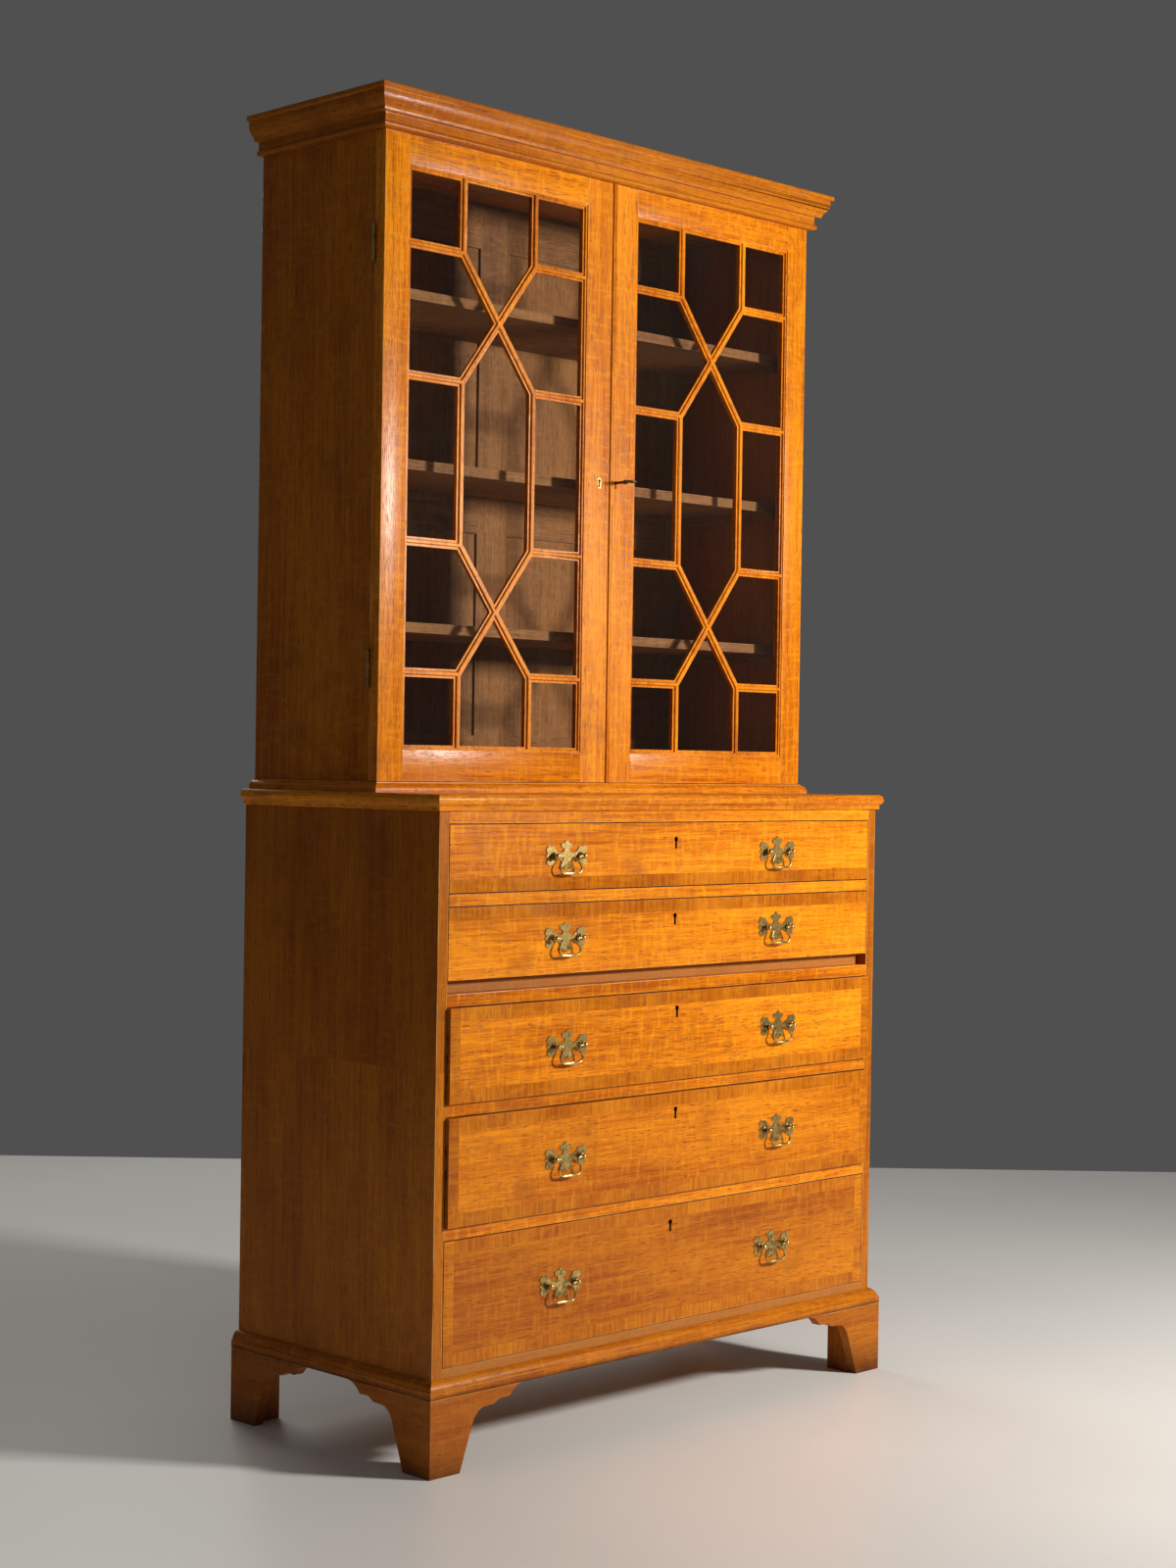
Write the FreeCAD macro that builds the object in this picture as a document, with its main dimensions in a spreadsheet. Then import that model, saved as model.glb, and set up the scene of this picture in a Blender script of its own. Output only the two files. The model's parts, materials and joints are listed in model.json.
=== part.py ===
import FreeCAD, Part
import math
import operator
import os
from types import SimpleNamespace

import Sketcher

# Driving dimensions in millimetres, angles in degrees.
# The width runs along X, the depth along Y with the front at -Y, the height along Z from the floor.
dimensions = {
    # Lower stage: a chest with a secretaire above three drawers
    "case_width": 1086,
    "case_depth": 491,
    "case_side": 21,
    "side_seam": 481,
    "foot_height": 123,
    "base_height": 27,
    "base_projection": 15,
    "bottom_thick": 15,
    "lower_opening": 201,
    "middle_opening": 174,
    "upper_opening": 153,
    "secretaire_opening": 268,
    "rail_thick": 20,
    "rail_depth": 55,
    "dust_thick": 12,
    "housing": 6,
    "back_thick": 10,
    "top_thick": 26,
    "top_projection": 11,
    # Bracket feet
    "bracket_thick": 19,
    "bracket_length": 200,
    "foot_width": 64,
    "ankle_width": 90,
    "ankle_height": 74,
    "knee_width": 112,
    "knee_height": 97,
    "ledge_width": 136,
    "ledge_rise": 1,
    "step_width": 148,
    "step_height": 105,
    "cusp_width": 170,
    "knee_radius": 34,
    "cusp_radius": 42,
    "block_size": 48,
    # Upper stage: the bookcase
    "upper_inset": 18.3,
    "upper_setback": 173,
    "upper_side": 18,
    "waist_height": 17,
    "waist_projection": 12,
    "door_height": 1050,
    "door_thick": 22,
    "door_gap": 1,
    "meeting_gap": 1.5,
    "door_clearance": 0.3,
    "upper_top_thick": 20,
    "cornice_height": 64,
    "cornice_projection": 36.5,
    "back_frame_thick": 18,
    "back_stile": 65,
    "back_muntin": 74,
    "back_rail": 82,
    "back_mid_level": 450,
    "back_mid_rail": 66,
    "back_panel_thick": 8,
    "shelf_thick": 17,
    "shelf_setback": 28,
    "shelf_play": 0.5,
    "low_shelf": 264,
    "mid_shelf": 533,
    "high_shelf": 814,
    "bearer_width": 12,
    "bearer_height": 14,
    # Glazed doors
    "meeting_stile": 61,
    "outer_stile": 53,
    "door_top_rail": 48,
    "door_bottom_rail": 52,
    "tenon_length": 32,
    "tenon_thick": 8,
    "tenon_shoulder": 8,
    "bar_inset": 123,
    "lattice_outer": 349,
    "lattice_inner": 135,
    "bar_width": 15,
    "bead_width": 7,
    "bead_round": 1.5,
    "fillet_drop": 3,
    "bar_depth": 7,
    "bar_sink": 2,
    "rib_width": 4,
    "rib_depth": 10,
    "glass_thick": 2.4,
    "glass_play": 0.4,
    "reed_width": 5.2,
    "reed_radius": 3,
    "reed_base": 1.2,
    # Door hinges
    "hinge_length": 64,
    "hinge_inset": 150,
    "hinge_offset": 4,
    "knuckle_radius": 3.4,
    "knuckle_length": 22,
    "knuckle_play": 0.3,
    "barrel_sides": 10,
    "pin_radius": 1.7,
    "pin_clearance": 0.1,
    "leaf_width": 16,
    "leaf_thick": 1.6,
    # Door lock, key and escutcheon
    "key_inset": 16,
    "lock_width": 34,
    "lock_height": 60,
    "lock_depth": 12,
    "lock_setback": 2,
    "key_sides": 10,
    "key_stem_radius": 2.6,
    "key_reach": 30,
    "key_depth": 8,
    "key_collar_radius": 4.2,
    "key_collar_width": 4,
    "key_bow_radius": 11,
    "key_bow_hole": 7,
    "key_bow_thick": 3.4,
    "key_bow_sides": 20,
    "key_bit": 7.5,
    "key_bit_thick": 2.5,
    "key_play": 1,
    "ward_radius": 9,
    "keyhole_radius": 3.2,
    "keyhole_slot": 3.4,
    "keyhole_drop": 11,
    "escutcheon_rim": 2,
    "escutcheon_thick": 3,
    "escutcheon_proud": 0.5,
    "escutcheon_inset": 25,
    # Drawers
    "drawer_ajar": 8,
    "drawer_depth": 452,
    "front_thick": 20,
    "front_gap": 1.5,
    "front_lift": 1,
    "drawer_side": 12,
    "drawer_side_drop": 10,
    "drawer_back": 12,
    "drawer_bottom": 8,
    "bottom_lift": 6,
    "groove_depth": 5,
    "tail_count": 4,
    "lap_thick": 6,
    "tail_root": 16,
    "tail_tip": 23,
    "drawer_keyhole_drop": 30,
    "drawer_lock_width": 62,
    "drawer_lock_height": 44,
    "drawer_lock_depth": 11,
    # Secretaire drawer and its fall front
    "secretaire_depth": 450,
    "secretaire_side": 14,
    "secretaire_bottom": 21,
    "secretaire_back": 12,
    "fall_play": 0.3,
    "false_rail": 23,
    "false_rail_level": 115,
    "groove_width": 2,
    "groove_sink": 3,
    "fall_hinge_spread": 350,
    "fall_hinge_length": 60,
    "fall_knuckle": 20,
    "fall_barrel": 3,
    "fall_barrel_room": 0.5,
    "fall_leaf": 22,
    "stay_radius": 150,
    "stay_width": 10,
    "stay_thick": 4,
    "stay_play": 2,
    "stay_foot": 12,
    "stay_lift": 10,
    "stay_plate": 2,
    "pigeon_depth": 170,
    "pigeon_height": 182,
    "pigeon_board": 6,
    "pigeon_bays": 7,
    # Drop handles
    "handle_offset": 264,
    "handle_lift": 1,
    "plate_thick": 1.8,
    "post_spacing": 62,
    "post_radius": 5.2,
    "post_length": 15,
    "post_sides": 8,
    "post_cap": 3,
    "post_cap_radius": 3.7,
    "shank_width": 5,
    "shank_play": 0.2,
    "nut_width": 11,
    "nut_thick": 4,
    "pivot_reach": 10.5,
    "bail_sides": 6,
    "bail_pin": 1.7,
    "pin_engagement": 3,
    "neck_start": 8,
    "neck_radius": 4.5,
    "neck_lean": 30,
    "neck_length": 9,
    "foot_radius": 9,
    "bail_rod": 1.9,
    "bail_belly": 3.3,
}

doc = FreeCAD.newDocument("bureau_bookcase")
sheet = doc.addObject("Spreadsheet::Sheet", "sizes")
for row, (alias, number) in enumerate(dimensions.items(), start=1):
    sheet.set(f"A{row}", alias)
    sheet.set(f"B{row}", str(number))
    sheet.setAlias(f"B{row}", alias)
doc.recompute()

arithmetic = {"+": operator.add, "-": operator.sub, "*": operator.mul, "/": operator.truediv}


class Size:
    """A length with its value and the sheet expression that gives it."""

    def __init__(self, text, value):
        self.text = text
        self.value = value

    def __add__(self, other):
        return combined(self, "+", other)

    def __radd__(self, other):
        return combined(other, "+", self)

    def __sub__(self, other):
        return combined(self, "-", other)

    def __rsub__(self, other):
        return combined(other, "-", self)

    def __mul__(self, other):
        return combined(self, "*", other)

    def __rmul__(self, other):
        return combined(other, "*", self)

    def __truediv__(self, other):
        return combined(self, "/", other)

    def __neg__(self):
        return combined(0, "-", self)


def as_size(number):
    return number if isinstance(number, Size) else Size(repr(number), number)


def combined(left, sign, right):
    left = as_size(left)
    right = as_size(right)
    return Size(f"({left.text} {sign} {right.text})", arithmetic[sign](left.value, right.value))


dim = SimpleNamespace(**{alias: Size(f"sizes.{alias}", sheet.get(alias)) for alias in dimensions})
nodes = []
along_axis = {
    "X": FreeCAD.Rotation(FreeCAD.Vector(0, 1, 0), 90),
    "Y": FreeCAD.Rotation(FreeCAD.Vector(1, 0, 0), -90),
    "Z": FreeCAD.Rotation(),
}
half_turn = FreeCAD.Rotation(FreeCAD.Vector(0, 0, 1), 180)


def bind(item, settings):
    for path, size in settings.items():
        item.setExpression(path, as_size(size).text)


def place(item, x=0, y=0, z=0, rotation=None):
    if rotation:
        item.Placement = FreeCAD.Placement(FreeCAD.Vector(), rotation)
    bind(item, {"Placement.Base.x": x, "Placement.Base.y": y, "Placement.Base.z": z})
    return item


def board(name, x, y, z):
    box = doc.addObject("Part::Box", name)
    bind(box, {"Length": x[1] - x[0], "Width": y[1] - y[0], "Height": z[1] - z[0]})
    return place(box, x[0], y[0], z[0])


def rod(name, axis, start, radius, length):
    cylinder = doc.addObject("Part::Cylinder", name)
    bind(cylinder, {"Radius": radius, "Height": length})
    return place(cylinder, *start, rotation=along_axis[axis])


def prism(name, axis, start, radius, length, sides):
    # A rod of flat sides, with its radius taken to the corners
    pole = doc.addObject("Part::Prism", name)
    bind(pole, {"Polygon": sides, "Circumradius": radius, "Height": length})
    return place(pole, *start, rotation=along_axis[axis])


def clear_radius(radius, sides):
    # The corner radius of a prism whose flats keep the given radius clear
    return radius / math.cos(math.pi / sides.value)


def joined(name, *pieces):
    fusion = doc.addObject("Part::MultiFuse", name)
    fusion.Shapes = list(pieces)
    return fusion


def apart(name, *pieces):
    compound = doc.addObject("Part::Compound", name)
    compound.Links = list(pieces)
    return compound


def cut(name, base, *tools):
    for number, tool in enumerate(tools, start=1):
        remainder = doc.addObject("Part::Cut", f"{name}_cut_{number}")
        remainder.Base = base
        remainder.Tool = tool
        base = remainder
    return base


def common(name, first, second):
    overlap = doc.addObject("Part::Common", name)
    overlap.Base = first
    overlap.Tool = second
    return overlap


def mirrored(name, source):
    twin = doc.addObject("Part::Mirroring", name)
    twin.Source = source
    twin.Normal = FreeCAD.Vector(1, 0, 0)
    return twin


def node(name, *pieces):
    whole = apart(name, *pieces)
    whole.Label = name
    nodes.append(whole)
    return whole


def arc_edge(start, end, radius):
    # A positive radius bulges to the right of the way from start to end, a negative one to the left
    chord = end - start
    half = chord.Length / 2
    rise = math.sqrt(max(radius * radius - half * half, 0))
    left = FreeCAD.Vector(-chord.y, chord.x, 0).normalize()
    centre = (start + end) * 0.5 + left * math.copysign(rise, radius)
    circle = Part.Circle(centre, FreeCAD.Vector(0, 0, 1), abs(radius))
    first, last = (start, end) if radius > 0 else (end, start)
    return Part.ArcOfCircle(circle, circle.parameter(first), circle.parameter(last))


def draw(sketch, outline, closed=True):
    # Each point is (u, v), or (u, v, radius) where an arc leads to the point from the one before
    corners = [FreeCAD.Vector(as_size(point[0]).value, as_size(point[1]).value, 0) for point in outline]
    count = len(outline)
    first_edge = 0 if closed else 1
    starts = {}
    ends = {}
    constraints = []
    expressions = []
    for index in range(first_edge, count):
        before = (index - 1) % count
        radius = outline[index][2] if len(outline[index]) == 3 else None
        if radius is None:
            edge = sketch.addGeometry(Part.LineSegment(corners[before], corners[index]), False)
            starts[before] = (edge, 1)
            ends[index] = (edge, 2)
            continue
        bend = as_size(radius)
        edge = sketch.addGeometry(arc_edge(corners[before], corners[index], bend.value), False)
        forward = bend.value > 0
        starts[before] = (edge, 1 if forward else 2)
        ends[index] = (edge, 2 if forward else 1)
        constraints.append(Sketcher.Constraint("Radius", edge, abs(bend.value)))
        expressions.append(f"abs({bend.text})")
    for index in range(count):
        if index in starts and index in ends:
            constraints.append(Sketcher.Constraint("Coincident", *ends[index], *starts[index]))
            expressions.append(None)
        edge, end = starts.get(index) or ends[index]
        for way, corner, value in zip(("DistanceX", "DistanceY"), outline[index], corners[index]):
            constraints.append(Sketcher.Constraint(way, -1, 1, edge, end, value))
            expressions.append(as_size(corner).text)
    sketch.addConstraint(constraints)
    for index, text in enumerate(expressions):
        if text:
            sketch.setExpression(f"Constraints[{index}]", text)


def sketched_body(name, plane, outline):
    body = doc.addObject("PartDesign::Body", name)
    sketch = body.newObject("Sketcher::SketchObject", f"{name}_outline")
    support = next(feature for feature in body.Origin.OriginFeatures if feature.Role == plane)
    sketch.AttachmentSupport = [(support, "")]
    sketch.MapMode = "FlatFace"
    draw(sketch, outline)
    return body, sketch


def padded(name, plane, outline, length):
    # The pad runs along +Z from XY_Plane, along -Y from XZ_Plane and along +X from YZ_Plane
    body, sketch = sketched_body(name, plane, outline)
    pad = body.newObject("PartDesign::Pad", f"{name}_pad")
    pad.Profile = sketch
    bind(pad, {"Length": length})
    return body


def moulding(name, bounds, inset, reach, height, outline):
    # A run along the front and a return down each side, mitred at the corners.
    # The bounds are the half width, front, back and foot of the case that it runs round.
    # The outline gives (projection, height) and starts behind the face by the inset.
    half, face, rear, level = bounds
    outer = half + reach
    inner = half - inset
    front_run = padded(f"{name}_front_run", "YZ_Plane", outline, 2 * outer)
    place(front_run, outer, face, level, half_turn)
    front_plan = [
        (-outer, face - reach),
        (outer, face - reach),
        (inner, face + inset),
        (-inner, face + inset),
    ]
    front_mitre = place(padded(f"{name}_front_mitre", "XY_Plane", front_plan, height), z=level)
    side_run = padded(f"{name}_side_run", "XZ_Plane", outline, rear - face + reach)
    place(side_run, half, rear, level)
    side_plan = [(outer, face - reach), (outer, rear), (inner, rear), (inner, face + inset)]
    side_mitre = place(padded(f"{name}_side_mitre", "XY_Plane", side_plan, height), z=level)
    front_piece = common(f"{name}_front", front_run, front_mitre)
    right_piece = common(f"{name}_right", side_run, side_mitre)
    node(name, front_piece, right_piece, mirrored(f"{name}_left", right_piece))


# Reference planes and levels
half_case = dim.case_width / 2
inner_half = half_case - dim.case_side
front_reach = dim.drawer_ajar + dim.plate_thick + dim.post_length
front = (front_reach - dim.case_depth) / 2
back = front + dim.case_depth
base_top = dim.foot_height + dim.base_height
lower_floor = base_top + dim.bottom_thick
lower_rail = lower_floor + dim.lower_opening
middle_floor = lower_rail + dim.rail_thick
middle_rail = middle_floor + dim.middle_opening
upper_floor = middle_rail + dim.rail_thick
upper_rail = upper_floor + dim.upper_opening
secretaire_floor = upper_rail + dim.rail_thick
top_rail = secretaire_floor + dim.secretaire_opening
case_top = top_rail + dim.rail_thick
waist = case_top + dim.top_thick
waist_top = waist + dim.waist_height
door_foot = waist_top + dim.door_gap
door_head = door_foot + dim.door_height
cornice_foot = door_head + dim.door_gap
half_upper = half_case - dim.upper_inset
upper_inner = half_upper - dim.upper_side
door_face = front + dim.upper_setback
door_rear = door_face + dim.door_thick
upper_front = door_rear + dim.door_clearance


def lower_stage():
    inside_back = back - dim.back_thick
    width = (-inner_half, inner_half)
    rail_levels = {"lower": lower_rail, "middle": middle_rail, "upper": upper_rail, "top": top_rail}
    rails = []
    dust_boards = []
    for name, level in rail_levels.items():
        top = level + dim.rail_thick
        rails.append(board(f"{name}_rail", width, (front, front + dim.rail_depth), (level, top)))
        if name == "top":
            continue
        housed = (-inner_half - dim.housing, inner_half + dim.housing)
        depth = (front + dim.rail_depth, inside_back)
        dust_boards.append(board(f"{name}_dust_board", housed, depth, (top - dim.dust_thick, top)))
    node("front_rails", *rails)
    housings = node("dust_boards", *dust_boards)
    seam = base_top + dim.side_seam
    thickness = (inner_half, half_case)
    foot_board = board("side_foot_board", thickness, (front, back), (base_top, seam))
    head_board = board("side_head_board", thickness, (front, back), (seam, case_top))
    foot_half = cut("side_foot", foot_board, housings)
    head_half = cut("side_head", head_board, housings)
    side = node("lower_side_right", foot_half, head_half)
    node("lower_side_left", mirrored("lower_side_twin", side))
    node("lower_bottom", board("bottom_board", width, (front, inside_back), (base_top, lower_floor)))
    node("lower_top", board("top_board", (-half_case, half_case), (front, back), (case_top, waist)))
    board_count = 4
    board_width = 2 * inner_half / board_count
    back_boards = []
    for number in range(board_count):
        left = number * board_width - inner_half
        span = (left, left + board_width)
        back_boards.append(board(f"back_board_{number}", span, (inside_back, back), (base_top, case_top)))
    node("lower_back", *back_boards)


def lower_mouldings():
    neck = 5
    hollow = 6.5
    nose_foot = 8.5
    nose_radius = 10
    nose_bulge = 4.7
    arris = 0.5
    nose = dim.top_projection - nose_bulge
    top_outline = [
        (0, 0),
        (neck, 0),
        (neck, hollow),
        (nose, nose_foot),
        (nose, dim.top_thick - arris, nose_radius),
        (nose - arris, dim.top_thick),
        (0, dim.top_thick),
    ]
    moulding("top_moulding", (half_case, front, back, case_top), as_size(0), dim.top_projection,
             dim.top_thick, top_outline)
    inset = dim.bracket_thick - dim.base_projection
    fillet = 12
    quirk = 2
    ovolo_radius = 18
    base_outline = [
        (-inset, 0),
        (dim.base_projection, 0),
        (dim.base_projection, fillet),
        (dim.base_projection - quirk, fillet),
        (quirk, dim.base_height, ovolo_radius),
        (-inset, dim.base_height),
    ]
    moulding("base_moulding", (half_case, front, back, dim.foot_height), inset, dim.base_projection,
             dim.base_height, base_outline)


def feet():
    corner = half_case + dim.base_projection
    face = front - dim.base_projection
    thick = dim.bracket_thick
    length = dim.bracket_length
    outline = [
        (0, 0),
        (dim.foot_width, 0),
        (dim.ankle_width, dim.ankle_height),
        (dim.knee_width, dim.knee_height, -dim.knee_radius),
        (dim.ledge_width, dim.knee_height + dim.ledge_rise),
        (dim.step_width, dim.step_height),
        (dim.cusp_width, dim.step_height),
        (length, dim.foot_height, -dim.cusp_radius),
        (0, dim.foot_height),
    ]
    front_bracket = place(padded("front_bracket", "XZ_Plane", outline, thick), -corner, face + thick)
    front_plan = [(-corner, face), (length - corner, face), (length - corner, face + thick),
                  (thick - corner, face + thick)]
    front_mitre = padded("front_bracket_mitre", "XY_Plane", front_plan, dim.foot_height)
    side_bracket = place(padded("side_bracket", "YZ_Plane", outline, thick), -corner, face)
    side_plan = [(-corner, face), (thick - corner, face + thick), (thick - corner, face + length),
                 (-corner, face + length)]
    side_mitre = padded("side_bracket_mitre", "XY_Plane", side_plan, dim.foot_height)
    rear_blank = padded("rear_bracket", "YZ_Plane", outline, thick)
    rear_bracket = place(rear_blank, thick - corner, back, 0, half_turn)
    block_x = (thick - corner, thick - corner + dim.block_size)
    block_y = (face + thick, face + thick + dim.block_size)
    block_z = (as_size(0), base_top)
    front_block = board("front_block", block_x, block_y, block_z)
    rear_block = board("rear_block", block_x, (back - dim.block_size, back), block_z)
    left_feet = apart(
        "left_feet",
        common("front_bracket_foot", front_bracket, front_mitre),
        common("side_bracket_foot", side_bracket, side_mitre),
        rear_bracket,
        front_block,
        rear_block,
    )
    node("bracket_feet", left_feet, mirrored("right_feet", left_feet))


def upper_stage(hinge_leaves):
    depth = (door_face, back)
    width = (-half_upper, half_upper)
    node("upper_bottom", board("upper_bottom_board", width, depth, (waist, waist_top)))
    top_height = (cornice_foot, cornice_foot + dim.upper_top_thick)
    node("upper_top", board("upper_top_board", width, depth, top_height))
    height = (waist_top, cornice_foot)
    side_board = board("upper_side_board", (upper_inner, half_upper), (upper_front, back), height)
    side = node("upper_side_right", cut("upper_side", side_board, hinge_leaves))
    node("upper_side_left", mirrored("upper_side_twin", side))
    inside_back = back - dim.back_frame_thick
    stile_edge = upper_inner - dim.back_stile
    muntin_edge = dim.back_muntin / 2
    frame_depth = (inside_back, back)
    mid_foot = waist_top + dim.back_mid_level
    mid_head = mid_foot + dim.back_mid_rail
    stile = board("back_stile", (stile_edge, upper_inner), frame_depth, height)
    muntin = board("back_muntin", (-muntin_edge, muntin_edge), frame_depth, height)
    rail_spans = {
        "foot": (waist_top, waist_top + dim.back_rail),
        "mid": (mid_foot, mid_head),
        "head": (cornice_foot - dim.back_rail, cornice_foot),
    }
    between = (muntin_edge, stile_edge)
    half_frame = [stile]
    for name, span in rail_spans.items():
        half_frame.append(board(f"back_{name}_rail", between, frame_depth, span))
    panel_foot = inside_back + (dim.back_frame_thick - dim.back_panel_thick) / 2
    panel_depth = (panel_foot, panel_foot + dim.back_panel_thick)
    half_frame.append(board("back_low_panel", between, panel_depth, (rail_spans["foot"][1], mid_foot)))
    half_frame.append(board("back_high_panel", between, panel_depth, (mid_head, rail_spans["head"][0])))
    right_half = apart("back_right_half", *half_frame)
    node("upper_back", muntin, right_half, mirrored("back_left_half", right_half))
    shelf_depth = (upper_front + dim.shelf_setback, inside_back)
    shelf_half = upper_inner - dim.shelf_play
    shelves = []
    bearers = []
    for name, rise in {"low": dim.low_shelf, "mid": dim.mid_shelf, "high": dim.high_shelf}.items():
        foot = waist_top + rise - dim.shelf_thick
        shelf_z = (foot, foot + dim.shelf_thick)
        shelves.append(board(f"{name}_shelf", (-shelf_half, shelf_half), shelf_depth, shelf_z))
        bearer_x = (upper_inner - dim.bearer_width, upper_inner)
        bearers.append(board(f"{name}_bearer", bearer_x, shelf_depth, (foot - dim.bearer_height, foot)))
    node("shelves", *shelves)
    right_bearers = apart("right_bearers", *bearers)
    node("shelf_bearers", right_bearers, mirrored("left_bearers", right_bearers))


def upper_mouldings():
    waist_fillet = 5
    waist_neck = 3
    waist_lip = 2
    waist_outline = [
        (0, 0),
        (dim.waist_projection, 0),
        (dim.waist_projection, waist_fillet),
        (waist_neck, dim.waist_height - waist_lip, dim.waist_projection),
        (waist_neck, dim.waist_height),
        (0, dim.waist_height),
    ]
    moulding("waist_moulding", (half_upper, door_face, back, waist), as_size(0), dim.waist_projection,
             dim.waist_height, waist_outline)
    bead_reach = 11
    bead_top = 9
    bead_radius = 5
    frieze_reach = 10
    frieze_top = 23
    step_reach = 20
    step_top = 25
    hollow_reach = 24
    hollow_top = 32
    hollow_radius = 12
    swell_radius = 24
    swell_lip = 3
    throat = dim.cornice_projection - 5
    nose_foot = dim.cornice_height - 9
    nose_radius = 6
    arris = 1
    nose = dim.cornice_projection - arris
    cornice_outline = [
        (0, 0),
        (bead_reach, 0),
        (bead_reach, bead_top, bead_radius),
        (frieze_reach, bead_top),
        (frieze_reach, frieze_top),
        (step_reach, frieze_top),
        (step_reach, step_top),
        (hollow_reach, hollow_top, -hollow_radius),
        (throat, nose_foot - swell_lip, swell_radius),
        (throat, nose_foot),
        (nose, nose_foot),
        (nose, dim.cornice_height - arris, nose_radius),
        (nose - arris, dim.cornice_height),
        (0, dim.cornice_height),
    ]
    moulding("cornice", (half_upper, door_face, back, cornice_foot), as_size(0), dim.cornice_projection,
             dim.cornice_height, cornice_outline)


def keyhole(name, x, y, z, length):
    hole = prism(f"{name}_round", "Y", (x, y, z), dim.keyhole_radius, length, dim.key_sides)
    half_slot = dim.keyhole_slot / 2
    slot = board(f"{name}_slot", (x - half_slot, x + half_slot), (y, y + length), (z - dim.keyhole_drop, z))
    return joined(name, hole, slot)


def bar_outline(across_first):
    # An astragal in front of the glass with a thin rib between the panes, about its own centre line
    half_bar = dim.bar_width / 2
    half_bead = dim.bead_width / 2
    half_rib = dim.rib_width / 2
    crown = half_bead - dim.bead_round
    rear = dim.bar_depth + dim.rib_depth
    right = [
        (crown, 0),
        (half_bead, dim.bead_round),
        (half_bead, dim.fillet_drop),
        (half_bar, dim.fillet_drop),
        (half_bar, dim.bar_depth),
        (half_rib, dim.bar_depth),
        (half_rib, rear),
    ]
    outline = right + [(-across, deep) for across, deep in reversed(right)]
    return outline if across_first else [(deep, -across) for across, deep in outline]


def rib_outline(across_first):
    half = dim.rib_width / 2 + dim.glass_play
    far = dim.bar_depth + dim.rib_depth
    outline = [(-half, 0), (half, 0), (half, far), (-half, far)]
    return outline if across_first else [(deep, -across) for across, deep in outline]


def lattice(name, outline_of, opening, depth):
    # Two zigzag bars that cross twice, and eight short bars from them to the stiles
    left, right, foot, head = opening
    near = left + dim.bar_inset
    far = right - dim.bar_inset
    middle = (foot + head) / 2
    outer = dim.lattice_outer
    inner = dim.lattice_inner
    pieces = []
    for label, first, second in (("falling", near, far), ("rising", far, near)):
        spine = doc.addObject("Sketcher::SketchObject", f"{name}_{label}_line")
        route = [(first, head), (first, middle + outer), (second, middle + inner), (second, middle - inner),
                 (first, middle - outer), (first, foot)]
        draw(spine, route, closed=False)
        place(spine, 0, depth, 0, FreeCAD.Rotation(FreeCAD.Vector(1, 0, 0), 90))
        section = doc.addObject("Sketcher::SketchObject", f"{name}_{label}_section")
        draw(section, outline_of(True))
        place(section, first, depth, head)
        sweep = doc.addObject("Part::Sweep", f"{name}_{label}_bar")
        sweep.Sections = [section]
        sweep.Spine = (spine, [f"Edge{number}" for number in range(1, len(route))])
        sweep.Solid = True
        sweep.Transition = "Right corner"
        pieces.append(sweep)
    for label, start, length in (("left", left, dim.bar_inset), ("right", far, dim.bar_inset)):
        for number, rise in enumerate((outer, inner, -inner, -outer)):
            stub = padded(f"{name}_{label}_stub_{number}", "YZ_Plane", outline_of(False), length)
            pieces.append(place(stub, start, depth, middle + rise))
    return pieces


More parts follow.
